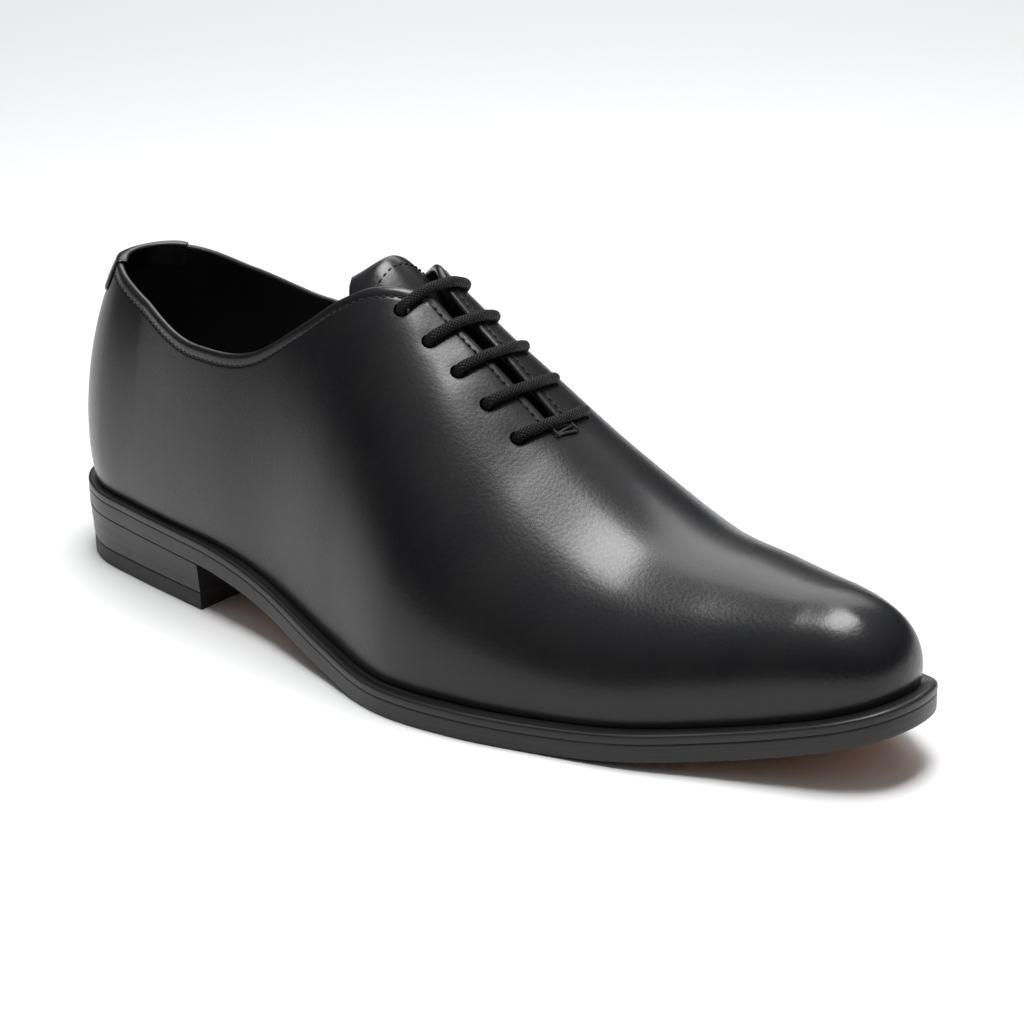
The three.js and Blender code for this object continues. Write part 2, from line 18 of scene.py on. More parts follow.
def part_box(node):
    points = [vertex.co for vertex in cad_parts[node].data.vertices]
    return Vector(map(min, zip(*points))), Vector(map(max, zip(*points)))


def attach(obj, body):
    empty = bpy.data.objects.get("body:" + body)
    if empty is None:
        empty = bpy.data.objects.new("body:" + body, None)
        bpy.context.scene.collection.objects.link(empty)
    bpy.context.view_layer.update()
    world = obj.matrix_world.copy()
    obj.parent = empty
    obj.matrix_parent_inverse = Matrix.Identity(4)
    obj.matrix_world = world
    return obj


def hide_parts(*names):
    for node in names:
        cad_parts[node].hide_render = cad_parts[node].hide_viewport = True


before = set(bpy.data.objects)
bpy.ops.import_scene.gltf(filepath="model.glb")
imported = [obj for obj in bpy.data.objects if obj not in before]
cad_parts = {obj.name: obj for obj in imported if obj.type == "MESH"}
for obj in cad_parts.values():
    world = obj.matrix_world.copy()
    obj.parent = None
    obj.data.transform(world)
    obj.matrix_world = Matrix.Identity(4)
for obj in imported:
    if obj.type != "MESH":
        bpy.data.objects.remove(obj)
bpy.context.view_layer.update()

MM = 0.001
BODY = "root"
log = logging.getLogger("shoe")

Array = np.ndarray
Height = Callable[[Array], Array]


class Slot(Enum):
    """The record's material slots."""

    CALF = "calf_leather"
    SOCK = "sock_leather"
    EDGE = "dressed_edge"
    SOLE = "sole_leather"
    RUBBER = "heel_rubber"
    LACE = "waxed_lace"


class Side(Enum):
    """Side of the shoe, as the sign of its stations along the sole's edge."""

    OUTER = 1
    INNER = -1


# Shape of the last


class SmoothCurve:
    """Smooth curve through points in rising x, level with its ends outside them."""

    def __init__(self, xs: Sequence[float], ys: Sequence[float]) -> None:
        """Works out the slope at each point.

        Args:
            xs: Places in rising order.
            ys: Values at those places.
        """
        self.xs = np.asarray(xs, float)
        self.ys = np.asarray(ys, float)
        steps = np.diff(self.xs)
        rises = np.diff(self.ys) / steps
        self.slopes = np.concatenate([rises[:1], rises[-1:]])
        if len(steps) > 1:
            inner = (rises[:-1] * steps[1:] + rises[1:] * steps[:-1]) / (steps[:-1] + steps[1:])
            self.slopes = np.concatenate([rises[:1], inner, rises[-1:]])

    def __call__(self, place: Array) -> Array:
        """Value of the curve.

        Args:
            place: One place or an array of them.

        Returns:
            The values there.
        """
        x = np.clip(np.asarray(place, float), self.xs[0], self.xs[-1])
        i = np.clip(np.searchsorted(self.xs, x) - 1, 0, len(self.xs) - 2)
        step = self.xs[i + 1] - self.xs[i]
        u = (x - self.xs[i]) / step
        ends = (2 * u**3 - 3 * u**2 + 1) * self.ys[i] + (3 * u**2 - 2 * u**3) * self.ys[i + 1]
        lead = (u**3 - 2 * u**2 + u) * step * self.slopes[i]
        trail = (u**3 - u**2) * step * self.slopes[i + 1]
        return ends + lead + trail


def bell(value: Array) -> Array:
    """Smooth bump of height 1 and width about 2 around zero."""
    return np.exp(-np.square(value))


def smoothstep(low: float, high: float, value: Array) -> Array:
    """Smooth step from 0 at low to 1 at high."""
    u = np.clip((np.asarray(value, float) - low) / (high - low), 0, 1)
    return u * u * (3 - 2 * u)


def unit(vectors: Array) -> Array:
    """Vectors of length 1 with the same directions."""
    return vectors / np.maximum(np.linalg.norm(vectors, axis=-1, keepdims=True), 1e-9)


@dataclass
class Last:
    """The form that the shoe is built on, and the edge of its sole."""

    sole_length: float = 300.0
    ball_width: float = 108.0
    heel_width: float = 62.0
    instep_height: float = 101.0
    collar_height: float = 67.0
    collar_lift: float = 4.2
    toe_spring: float = 14.8
    heel_height: float = 14.3
    heel_length: float = 77.5
    seat_slope: float = 0.03
    fan_heel: float = 45.0
    fan_toe: float = 28.0
    upper_wall: float = 2.0
    outsole_thickness: float = 5.0
    welt_thickness: float = 2.3
    insole_thickness: float = 2.6
    welt_reach: float = 4.2
    seat_reach: float = 2.5
    seam: float = 0.3
    toe_tip_shift: float = -0.013
    tread: tuple[float, float] = (0.555, 0.695)
    # Place along the sole, and half widths of the outer and inner side, as shares of the heel's width
    heel_edge: tuple[tuple[float, float, float], ...] = (
        (0.007, 0.156, 0.173), (0.030, 0.307, 0.326), (0.073, 0.432, 0.447),
        (0.140, 0.499, 0.508), (0.207, 0.548, 0.506),
    )
    # The same, as shares of the ball's width
    ball_edge: tuple[tuple[float, float, float], ...] = (
        (0.283, 0.344, 0.274), (0.367, 0.379, 0.270), (0.467, 0.452, 0.320), (0.567, 0.523, 0.415),
        (0.650, 0.507, 0.471), (0.727, 0.452, 0.461), (0.800, 0.390, 0.396), (0.867, 0.306, 0.315),
        (0.923, 0.240, 0.239), (0.963, 0.188, 0.176), (0.990, 0.118, 0.106),
    )
    # Place, height of the top line over the welt, its shift to the inner side
    ridge: tuple[tuple[float, float, float], ...] = (
        (0.150, 0.891, 0.000), (0.250, 1.073, -0.038), (0.333, 1.064, -0.071),
        (0.400, 1.016, -0.088), (0.467, 0.994, -0.092), (0.550, 0.828, -0.075),
        (0.650, 0.588, -0.046), (0.750, 0.411, -0.014), (0.833, 0.344, -0.001),
        (0.907, 0.290, -0.013),
    )
    # Place, belly, steepness, crown's width and rise of a cross section
    section: tuple[tuple[float, float, float, float, float], ...] = (
        (0.000, 0.0615, 0.26, 0.85, 0.96), (0.067, 0.0463, 0.26, 0.84, 0.93),
        (0.150, 0.0337, 0.28, 0.82, 0.94), (0.250, 0.0294, 0.30, 0.80, 0.96),
        (0.350, 0.0212, 0.31, 0.69, 1.00), (0.450, 0.0300, 0.35, 0.61, 1.00),
        (0.550, 0.0378, 0.42, 0.57, 1.00), (0.650, 0.0359, 0.49, 0.53, 1.00),
        (0.750, 0.0264, 0.54, 0.54, 1.00), (0.833, 0.0269, 0.59, 0.60, 1.00),
        (0.907, 0.0274, 0.62, 0.62, 1.00), (1.000, 0.0274, 0.65, 0.62, 1.00),
    )
    # Place, height of the collar line as a share of the collar's height, share of the inner side's lift
    collar: tuple[tuple[float, float, float], ...] = (
        (0.000, 1.003, 0.00), (0.067, 1.024, 0.44), (0.150, 0.927, 0.86), (0.250, 0.845, 1.00),
        (0.333, 0.919, 0.76),
    )
    # The same, as shares of the instep's height
    collar_front: tuple[tuple[float, float, float], ...] = (
        (0.400, 0.765, 0.45), (0.440, 0.872, 0.50), (0.467, 0.919, 0.95), (0.483, 0.925, 1.25),
        (0.500, 0.916, 1.20), (0.513, 0.902, 0.80), (0.540, 0.885, 0.00),
    )

    def __post_init__(self) -> None:
        """Makes the curves and the closed edge from the tables."""
        length = self.sole_length
        rows = [(at, outer * self.heel_width, inner * self.heel_width)
                for at, outer, inner in self.heel_edge]
        rows += [(at, outer * self.ball_width, inner * self.ball_width)
                 for at, outer, inner in self.ball_edge]
        outer_side = [(at * length, -outer) for at, outer, _ in rows]
        inner_side = [(at * length, inner) for at, _, inner in reversed(rows)]
        toe = (length, self.toe_tip_shift * self.ball_width)
        self.corners = np.array([(0.0, 0.0), *outer_side, toe, *inner_side])
        self.last_station = len(rows) + 1
        self.ridge_rise = self._curve(self.ridge, 1, self.instep_height)
        self.ridge_shift = self._curve(self.ridge, 2, self.ball_width)
        self.belly = self._curve(self.section, 1, self.ball_width)
        self.steep = self._curve(self.section, 2, 1.0)
        self.crown = self._curve(self.section, 3, 1.0)
        self.crown_rise = self._curve(self.section, 4, 1.0)
        both = [(at * length, rise * self.collar_height, lift) for at, rise, lift in self.collar]
        both += [(at * length, rise * self.instep_height, lift) for at, rise, lift in self.collar_front]
        self.collar_rise = SmoothCurve([row[0] for row in both], [row[1] for row in both])
        self.lift_share = SmoothCurve([row[0] for row in both], [row[2] for row in both])
        self.edge_reach = SmoothCurve((0.2 * length, 0.62 * length), (self.seat_reach, self.welt_reach))
        self.tread_start = self.tread[0] * length
        self.tread_end = self.tread[1] * length
        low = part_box("outsole")[0]
        fine = self.edge(np.linspace(0, 2 * self.last_station, 2000))
        self.shift = np.array([low.x / MM - fine[:, 0].min(), low.y / MM - fine[:, 1].min(), 0.0])
        stations = np.linspace(0, self.last_station, 1200)
        self._crest = (self.column(stations)[1][:, 0], stations)

    def _curve(self, rows: Sequence[Sequence[float]], column: int, size: float) -> SmoothCurve:
        """Curve through one column of a table, scaled by a size."""
        return SmoothCurve([row[0] * self.sole_length for row in rows], [row[column] * size for row in rows])

    def metres(self, points: Array) -> Array:
        """Points in the row frame, in metres, from points in the shoe's own frame."""
        return (np.asarray(points, float) + self.shift) * MM

    def underside(self, x: Array) -> Array:
        """Height of the outsole's underside: heel seat, shank, flat tread and toe spring."""
        x = np.asarray(x, float)
        seat = self.heel_height + self.seat_slope * (self.heel_length - x)
        run = self.tread_start - self.heel_length
        u = np.clip((x - self.heel_length) / run, 0, 1)
        shank = self.heel_height * (2 * u**3 - 3 * u**2 + 1)
        shank = shank - self.seat_slope * run * (u**3 - 2 * u**2 + u)
        toe = np.clip((x - self.tread_end) / (self.sole_length - self.tread_end), 0, None)
        return np.where(x < self.heel_length, seat, shank) + self.toe_spring * toe**2

    def outsole_top(self, x: Array) -> Array:
        """Height of the outsole's upper face."""
        return self.underside(x) + self.outsole_thickness

    def welt_top(self, x: Array) -> Array:
        """Height of the welt's upper face."""
        return self.outsole_top(x) + self.seam + self.welt_thickness

    def upper_bottom(self, x: Array) -> Array:
        """Height of the upper's foot."""
        return self.welt_top(x) + self.seam

    def insole_top(self, x: Array) -> Array:
        """Height of the insole's upper face."""
        return self.upper_bottom(x) + self.upper_wall + self.seam + self.insole_thickness

    def collar_line(self, x: Array, y: Array) -> Array:
        """Height of the collar line at a place in plan."""
        lift = self.lift_share(x) * self.collar_lift * (y / self.heel_width + 0.5)
        return self.upper_bottom(np.maximum(x, 0)) + self.collar_rise(x) + lift

    def edge(self, station: Array) -> Array:
        """Point of the sole's edge at a station: positive on the outer side, negative on the inner side."""
        count = len(self.corners)
        place = np.mod(np.asarray(station, float), count)
        i = np.floor(place).astype(int) % count
        u = (place - np.floor(place))[..., None]
        p0, p1, p2, p3 = (self.corners[(i + k) % count] for k in (-1, 0, 1, 2))
        d0, d1, d2 = (
            np.maximum(np.linalg.norm(b - a, axis=-1, keepdims=True), 1e-9) ** 0.5
            for a, b in ((p0, p1), (p1, p2), (p2, p3))
        )
        t1 = ((p1 - p0) / d0 - (p2 - p0) / (d0 + d1) + (p2 - p1) / d1) * d1
        t2 = ((p2 - p1) / d1 - (p3 - p1) / (d1 + d2) + (p3 - p2) / d2) * d1
        ends = (2 * u**3 - 3 * u**2 + 1) * p1 + (3 * u**2 - 2 * u**3) * p2
        return ends + (u**3 - 2 * u**2 + u) * t1 + (u**3 - u**2) * t2

    def inset_edge(self, station: Array, inset: Array) -> Array:
        """Point at a distance inside the sole's edge, square to it."""
        station = np.asarray(station, float)
        along = unit(self.edge(station + 0.01) - self.edge(station - 0.01))
        inward = np.stack([-along[..., 1], along[..., 0]], -1)
        return self.edge(station) + inward * np.asarray(inset, float)[..., None]

    def column(self, station: Array) -> tuple[Array, Array, Array, Array]:
        """Foot of the upper, the top line's point over it, the direction outward and the distance.

        Args:
            station: Places along the sole's edge.

        Returns:
            Foot, spine point, unit direction from spine to foot, and distance between the two.
        """
        station = np.asarray(station, float)
        foot = self.inset_edge(station, self.edge_reach(self.edge(station)[..., 0]))
        mate = self.inset_edge(-station, self.edge_reach(self.edge(-station)[..., 0]))
        middle = (foot[..., 0] + mate[..., 0]) / 2
        x = np.clip(middle, self.fan_heel, self.sole_length - self.fan_toe)
        spine = np.stack([x, self.ridge_shift(x)], -1)
        radius = np.linalg.norm(foot - spine, axis=-1)
        return foot, spine, (foot - spine) / radius[..., None], radius

    def skin(self, station: Array, rise: Array) -> Array:
        """Point of the last's surface, from the welt (rise 0) to its top line (rise 1)."""
        foot, spine, outward, radius = self.column(station)
        low = self.upper_bottom(foot[..., 0])
        height = self.upper_bottom(spine[..., 0]) + self.ridge_rise(spine[..., 0]) - low
        rise = np.asarray(rise, float)
        fall = 1 - rise
        b0, b1, b2, b3 = fall**3, 3 * rise * fall**2, 3 * rise**2 * fall, rise**3
        x = foot[..., 0]
        across = b0 * radius + b1 * (radius + self.belly(x)) + b2 * self.crown(x) * radius
        up = (b1 * self.steep(x) + b2 * self.crown_rise(x) + b3) * height
        plan = spine + outward * across[..., None]
        return np.concatenate([plan, (low + up)[..., None]], -1)

    def normal(self, station: Array, rise: Array) -> Array:
        """Direction out of the last's surface."""
        station, rise = np.broadcast_arrays(np.asarray(station, float), np.asarray(rise, float))
        rise = np.clip(rise, 0.01, 0.985)
        around = self.skin(station + 0.02, rise) - self.skin(station - 0.02, rise)
        up = self.skin(station, rise + 0.01) - self.skin(station, rise - 0.01)
        return unit(np.cross(around, up))

    def solve(self, rising: Callable[[Array], Array], goal: Array, low: float, high: float) -> Array:
        """Places where a rising function reaches its goals.

        Args:
            rising: Function of an array shaped like goal.
            goal: Values to reach.
            low: Lowest place looked at.
            high: Highest place looked at.

        Returns:
            The places, one to each goal.
        """
        goal = np.asarray(goal, float)
        start, end = np.full(goal.shape, low), np.full(goal.shape, high)
        for _ in range(30):
            middle = (start + end) / 2
            below = rising(middle) < goal
            start, end = np.where(below, middle, start), np.where(below, end, middle)
        return (start + end) / 2

    def instep(self, x: Array, offset: Array, depth: Array) -> Array:
        """Point of the instep by its place on the top line, its distance from that line and its depth."""
        x, offset, depth = np.broadcast_arrays(*(np.asarray(v, float) for v in (x, offset, depth)))

        def surface(place: Array, aside: Array) -> Array:
            station = np.interp(place, *self._crest) * np.where(aside < 0, 1, -1)
            crest = self.skin(station, 1.0)

            def nearness(rise: Array) -> Array:
                return -np.linalg.norm(self.skin(station, rise) - crest, axis=-1)

            return self.skin(station, self.solve(nearness, -np.abs(aside), 0.3, 1.0))

        along = surface(x + 0.5, offset) - surface(x - 0.5, offset)
        across = surface(x, offset + 0.5) - surface(x, offset - 0.5)
        return surface(x, offset) - unit(np.cross(along, across)) * depth[..., None]

    def wall_point(self, station: Array, height: Array, depth: Array) -> Array:
        """Point at a height on the last's surface moved in by a depth."""
        station, height, depth = np.broadcast_arrays(
            *(np.asarray(v, float) for v in (station, height, depth)))

        def moved(rise: Array) -> Array:
            return self.skin(station, rise) - self.normal(station, rise) * depth[..., None]

        return moved(self.solve(lambda rise: moved(rise)[..., 2], height, 0.02, 0.95))


# Meshes


@dataclass
class Shell:
    """Points and faces of a mesh under construction, in the shoe's own frame."""

    points: list[Array] = field(default_factory=list)
    faces: list[tuple[int, ...]] = field(default_factory=list)
    marks: list[int] = field(default_factory=list)
    values: dict[str, list[Array]] = field(default_factory=dict)
    count: int = 0

    def add(self, points: Array, **values: Array) -> Array:
        """Adds points.

        Args:
            points: Any array of points.
            values: Named numbers for each point.

        Returns:
            The points' numbers, in the same arrangement.
        """
        flat = np.asarray(points, float).reshape(-1, 3)
        self.points.append(flat)
        for name, value in values.items():
            self.values.setdefault(name, []).append(np.broadcast_to(value, points.shape[:-1]).ravel())
        numbers = np.arange(self.count, self.count + len(flat)).reshape(points.shape[:-1])
        self.count += len(flat)
        return numbers

    def grid(self, numbers: Array, wrap: bool = False, mark: int = 0) -> None:
        """Quads over an arrangement of point numbers.

        Args:
            numbers: Point numbers in rows and columns.
            wrap: Whether the last row joins the first one.
            mark: Material index of the faces.
        """
        nxt = np.roll(numbers, -1, 0) if wrap else numbers[1:]
        now = numbers if wrap else numbers[:-1]
        quads = np.stack([now[:, :-1], nxt[:, :-1], nxt[:, 1:], now[:, 1:]], -1).reshape(-1, 4)
        self.extend(quads, mark)

    def extend(self, faces: Array, mark: int = 0) -> None:
        """Adds faces, without the ones that have collapsed."""
        for face in faces.tolist():
            corners = tuple(dict.fromkeys(face))
            if len(corners) > 2:
                self.faces.append(corners)
                self.marks.append(mark)


@dataclass
class Piece:
    """One shown piece of the shoe, made from a shell."""

    name: str
    shell: Shell
    last: Last
    slot: Slot
    finishes: Sequence[bpy.types.Material]
    replaces: Sequence[str] = ()
    sharp: float = 50.0

    def build(self) -> bpy.types.Object:
        """Makes the Blender object.

        Returns:
            The object, riding on the shoe's body.
        """
        points = self.last.metres(np.concatenate(self.shell.points))
        mesh = bpy.data.meshes.new(self.name)
        mesh.from_pydata(points.tolist(), [], self.shell.faces)
        for name, parts in self.shell.values.items():
            layer = mesh.attributes.new(name, "FLOAT", "POINT")
            layer.data.foreach_set("value", np.concatenate(parts).astype(np.float32))
        mesh.polygons.foreach_set("material_index", self.shell.marks)
        mesh.polygons.foreach_set("use_smooth", [True] * len(mesh.polygons))
        for finish in self.finishes:
            mesh.materials.append(finish)
        mesh.update()
        mesh.set_sharp_from_angle(angle=math.radians(self.sharp))
        made = bpy.data.objects.new(self.name, mesh)
        bpy.context.scene.collection.objects.link(made)
        place(made, self.slot, self.replaces)
        return made


def place(made: bpy.types.Object, slot: Slot, replaces: Sequence[str] = ()) -> None:
    """Puts a piece on the shoe's body and hides the CAD nodes that it stands for.

    Args:
        made: The piece.
        slot: Not used.
        replaces: CAD nodes that it stands for.
    """
    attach(made, BODY)
    if replaces:
        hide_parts(*replaces)
    log.info("%s: %d faces", made.name, len(made.data.polygons))


def tube(shell: Shell, path: Array, radius: float, sides: int, closed: bool = False) -> None:
    """Adds a round tube along a path, with rounded ends where it is open.

    Args:
        shell: The mesh under construction.
        path: Points along the middle.
        radius: Half the thickness.
        sides: Sides of the section.
        closed: Whether the path joins its own start.
    """
    ahead = np.roll(path, -1, 0) - np.roll(path, 1, 0)
    if not closed:
        ahead[0], ahead[-1] = path[1] - path[0], path[-1] - path[-2]
    ahead = unit(ahead)
    aside = np.cross(ahead[0], (0.0, 0.0, 1.0) if abs(ahead[0, 2]) < 0.9 else (1.0, 0.0, 0.0))
    sides_of = []
    for direction in ahead:
        aside = unit(aside - direction * np.dot(aside, direction))
        sides_of.append(aside)
    first = np.array(sides_of)
    second = np.cross(ahead, first)
    turn = np.linspace(0, 2 * math.pi, sides + 1)
    ring = first[:, None] * np.cos(turn)[None, :, None] + second[:, None] * np.sin(turn)[None, :, None]
    lengths = np.concatenate([[0], np.cumsum(np.linalg.norm(np.diff(path, axis=0), axis=1))])
    swell = np.full(len(path), radius)
    if not closed:
        swell[[0, -1]] = 0.35 * radius
        swell[[1, -2]] = 0.85 * radius
    points = path[:, None] + ring * swell[:, None, None]
    numbers = shell.add(points[:, :-1], along=lengths[:, None], around=(turn[:-1] / (2 * math.pi))[None])
    numbers = np.concatenate([numbers, numbers[:, :1]], 1)
    shell.grid(numbers[:, ::-1], wrap=closed)
    if not closed:
        shell.extend(numbers[:1, -2::-1])
        shell.extend(numbers[-1:, :-1])


def resample(path: Array, step: float) -> Array:
    """Points at even distances along a path.

    Args:
        path: Points of the path.
        step: Distance wanted between points.

    Returns:
        The new points, both ends kept.
    """
    lengths = np.concatenate([[0], np.cumsum(np.linalg.norm(np.diff(path, axis=0), axis=1))])
    count = max(2, int(round(lengths[-1] / step)) + 1)
    marks = np.linspace(0, lengths[-1], count)
    return np.stack([np.interp(marks, lengths, path[:, k]) for k in range(3)], -1)


def spline(points: Array, parts: int) -> Array:
    """Smooth open curve through points, with some parts to each span."""
    padded = np.concatenate([2 * points[:1] - points[1:2], points, 2 * points[-1:] - points[-2:-1]])
    spans = []
    for p0, p1, p2, p3 in zip(padded, padded[1:], padded[2:], padded[3:]):
        d0, d1, d2 = (max(np.linalg.norm(b - a), 1e-6) ** 0.5 for a, b in ((p0, p1), (p1, p2), (p2, p3)))
        t1 = ((p1 - p0) / d0 - (p2 - p0) / (d0 + d1) + (p2 - p1) / d1) * d1
        t2 = ((p2 - p1) / d1 - (p3 - p1) / (d1 + d2) + (p3 - p2) / d2) * d1
        u = np.linspace(0, 1, parts, endpoint=False)[:, None]
        spans.append((2 * u**3 - 3 * u**2 + 1) * p1 + (3 * u**2 - 2 * u**3) * p2
                     + (u**3 - 2 * u**2 + u) * t1 + (u**3 - u**2) * t2)
    return np.concatenate([*spans, points[-1:]])


def stitches(shell: Shell, path: Array, out: Array, pitch: float, length: float, radius: float) -> None:
    """Adds a row of stitches along a path on a surface.

    Args:
        shell: The mesh under construction.
        path: Points on the surface.
        out: Direction out of the surface at each of them.
        pitch: Distance from stitch to stitch.
        length: Length of one stitch.
        radius: Half the thread's thickness.
    """
    lengths = np.concatenate([[0], np.cumsum(np.linalg.norm(np.diff(path, axis=0), axis=1))])

    def at(mark: Array, values: Array) -> Array:
        return np.stack([np.interp(mark, lengths, values[:, k]) for k in range(3)], -1)

    bow = np.array([-1.1, -0.35, 0.1, -0.35, -1.1]) * radius
    for start in np.arange(0.5 * pitch, lengths[-1] - length, pitch):
        marks = start + length * np.array([0.0, 0.22, 0.5, 0.78, 1.0])
        tube(shell, at(marks, path) + unit(at(marks, out)) * (bow + 0.6 * radius)[:, None], radius, 6)


# Shader expressions


class Signal:
    """A node's output socket with arithmetic: an expression adds the nodes that work it out."""

    def __init__(self, tree: bpy.types.NodeTree, socket: bpy.types.NodeSocket) -> None:
        """Wraps a socket of a node tree."""
        self.tree = tree
        self.socket = socket

    def _math(self, operation: str, *values: "Signal | float", clamp: bool = False) -> "Signal":
        """One Math node on these values."""
        return add_node(self.tree, "ShaderNodeMath", {"operation": operation, "use_clamp": clamp},
                        dict(enumerate(values)))

    def __add__(self, other: "Signal | float") -> "Signal":
        """Sum."""
        return self._math("ADD", self, other)

    __radd__ = __add__

    def __sub__(self, other: "Signal | float") -> "Signal":
        """Difference."""
        return self._math("SUBTRACT", self, other)

    def __rsub__(self, other: float) -> "Signal":
        """Difference from a number."""
        return self._math("SUBTRACT", other, self)

    def __mul__(self, other: "Signal | float") -> "Signal":
        """Product."""
        return self._math("MULTIPLY", self, other)

    __rmul__ = __mul__

    def __pow__(self, power: float) -> "Signal":
        """Power."""
        return self._math("POWER", self, power)

    def sine(self) -> "Signal":
        """Sine, in radians."""
        return self._math("SINE", self)

    def absolute(self) -> "Signal":
        """Value without its sign."""
        return self._math("ABSOLUTE", self)

    def step(self, low: float, high: float) -> "Signal":
        """Smooth step from 0 at low to 1 at high."""
        return add_node(self.tree, "ShaderNodeMapRange", {"interpolation_type": "SMOOTHSTEP"},
                        {0: self, 1: low, 2: high, 3: 0.0, 4: 1.0})


def add_node(tree: bpy.types.NodeTree, kind: str, settings: dict | None = None,
             values: dict | None = None, output: int | str = 0) -> Signal:
    """Adds one node.

    Args:
        tree: The material's node tree.
        kind: The node's type.
        settings: Properties that are set first; "stops" holds a ramp's places and colours.
        values: Numbers, colours or signals by the name or number of their socket.
        output: Name or number of the output that is wanted.

    Returns:
        The wanted output.
    """
    node = tree.nodes.new(kind)
    for name, value in (settings or {}).items():
        if name == "stops":
            ramp = node.color_ramp.elements
            while len(ramp) < len(value):
                ramp.new(0.5)
            for element, (position, colour) in zip(ramp, value):
                element.position, element.color = position, colour
        else:
            setattr(node, name, value)
    for name, value in (values or {}).items():
        if isinstance(value, Signal):
            tree.links.new(value.socket, node.inputs[name])
        else:
            node.inputs[name].default_value = value
    return Signal(tree, node.outputs[output])


class Surface:
    """A new material with its main shader, and the patterns that the finishes share."""

    def __init__(self, name: str) -> None:
        """Makes the material."""
        self.material = bpy.data.materials.new(name)
        self.material.use_nodes = True
        self.tree = self.material.node_tree
        self.shader = next(n for n in self.tree.nodes if n.type == "BSDF_PRINCIPLED")

    def set(self, **values: "Signal | float | tuple") -> None:
        """Sets the shader's sockets, named with underscores for spaces."""
        for name, value in values.items():
            socket = self.shader.inputs[name.replace("_", " ")]
            if isinstance(value, Signal):
                self.tree.links.new(value.socket, socket)
            else:
                socket.default_value = value

    def node(self, kind: str, settings: dict | None = None, values: dict | None = None,
             output: int | str = 0) -> Signal:
        """Adds a node to this material."""
        return add_node(self.tree, kind, settings, values, output)

    def place(self) -> Signal:
        """Place on the shoe, in metres."""
        return self.node("ShaderNodeTexCoord", output="Object")

    def stretched(self, scale: tuple[float, float, float]) -> Signal:
        """Place on the shoe, stretched along the axes."""
        return self.node("ShaderNodeMapping", None, {"Vector": self.place(), "Scale": scale})

    def attribute(self, name: str) -> Signal:
        """A number that the mesh carries at its points."""
        return self.node("ShaderNodeAttribute", {"attribute_name": name}, None, "Fac")

    def noise(self, scale: float, detail: float = 2.0, vector: Signal | None = None) -> Signal:
        """Soft noise from 0 to 1, with scale in cells to a metre."""
        return self.node("ShaderNodeTexNoise", None,
                         {"Vector": vector or self.place(), "Scale": scale, "Detail": detail})

    def cells(self, scale: float, feature: str = "F1", vector: Signal | None = None) -> Signal:
        """Distance to the nearest of scattered points."""
        return self.node("ShaderNodeTexVoronoi", {"feature": feature},
                         {"Vector": vector or self.place(), "Scale": scale}, "Distance")

    def colour(self, share: Signal, low: tuple, high: tuple) -> Signal:
        """Colour between two, by a share from 0 to 1."""
        return self.node("ShaderNodeMix", {"data_type": "RGBA"}, {0: share, 6: low, 7: high}, 2)

    def bump(self, height: Signal, distance: float, strength: float = 1.0,
             below: Signal | None = None) -> Signal:
        """Relief from a height, over another relief."""
        values = {"Height": height, "Distance": distance, "Strength": strength}
        if below is not None:
            values["Normal"] = below
        return self.node("ShaderNodeBump", None, values)


@dataclass(frozen=True)
class Calf:
    """Smooth polished black calf with a very fine grain."""

    name: str = "polished_calf"
    dark: tuple[float, float, float, float] = (0.0050, 0.0050, 0.0060, 1.0)
    light: tuple[float, float, float, float] = (0.0085, 0.0083, 0.0088, 1.0)
    roughness: float = 0.31
    roughness_spread: float = 0.10
    grain_per_metre: float = 1150.0
    grain_depth: float = 0.00004
    pore_per_metre: float = 3600.0
    pore_depth: float = 0.000018
    wave_per_metre: float = 45.0
    wave_depth: float = 0.0003
    coat: float = 0.22
    gloss: float = 0.32

    def material(self) -> bpy.types.Material:
        """Makes the material."""
        surface = Surface(self.name)
        cloud = surface.noise(38.0, 3.0)
        fine = surface.noise(self.pore_per_metre, 2.0)
        grain = surface.cells(self.grain_per_metre, "SMOOTH_F1")
        wander = surface.noise(self.wave_per_metre, 2.0)
        surface.set(
            Base_Color=surface.colour(cloud.step(0.35, 0.7), self.dark, self.light),
            Roughness=self.roughness + (cloud - 0.5) * self.roughness_spread + (grain - 0.3) * 0.10,
            Coat_Weight=self.coat, Coat_Roughness=0.20, Specular_IOR_Level=self.gloss,
            Normal=surface.bump(
                fine, self.pore_depth, 0.6,
                surface.bump(grain, self.grain_depth, 0.75, surface.bump(wander, self.wave_depth, 0.5))),
        )
        return surface.material


@dataclass(frozen=True)
class Lining:
    """Matt black lining and sock leather."""

    name: str = "lining_leather"
    dark: tuple[float, float, float, float] = (0.006, 0.0055, 0.005, 1.0)
    light: tuple[float, float, float, float] = (0.013, 0.012, 0.011, 1.0)
    roughness: float = 0.66

    def material(self) -> bpy.types.Material:
        """Makes the material."""
        surface = Surface(self.name)
        cloud = surface.noise(60.0, 3.0)
        nap = surface.noise(2600.0, 3.0)
        surface.set(
            Base_Color=surface.colour(cloud.step(0.3, 0.7), self.dark, self.light),
            Roughness=self.roughness + (nap - 0.5) * 0.2,
            Normal=surface.bump(nap, 0.00004, 0.7),
        )
        return surface.material


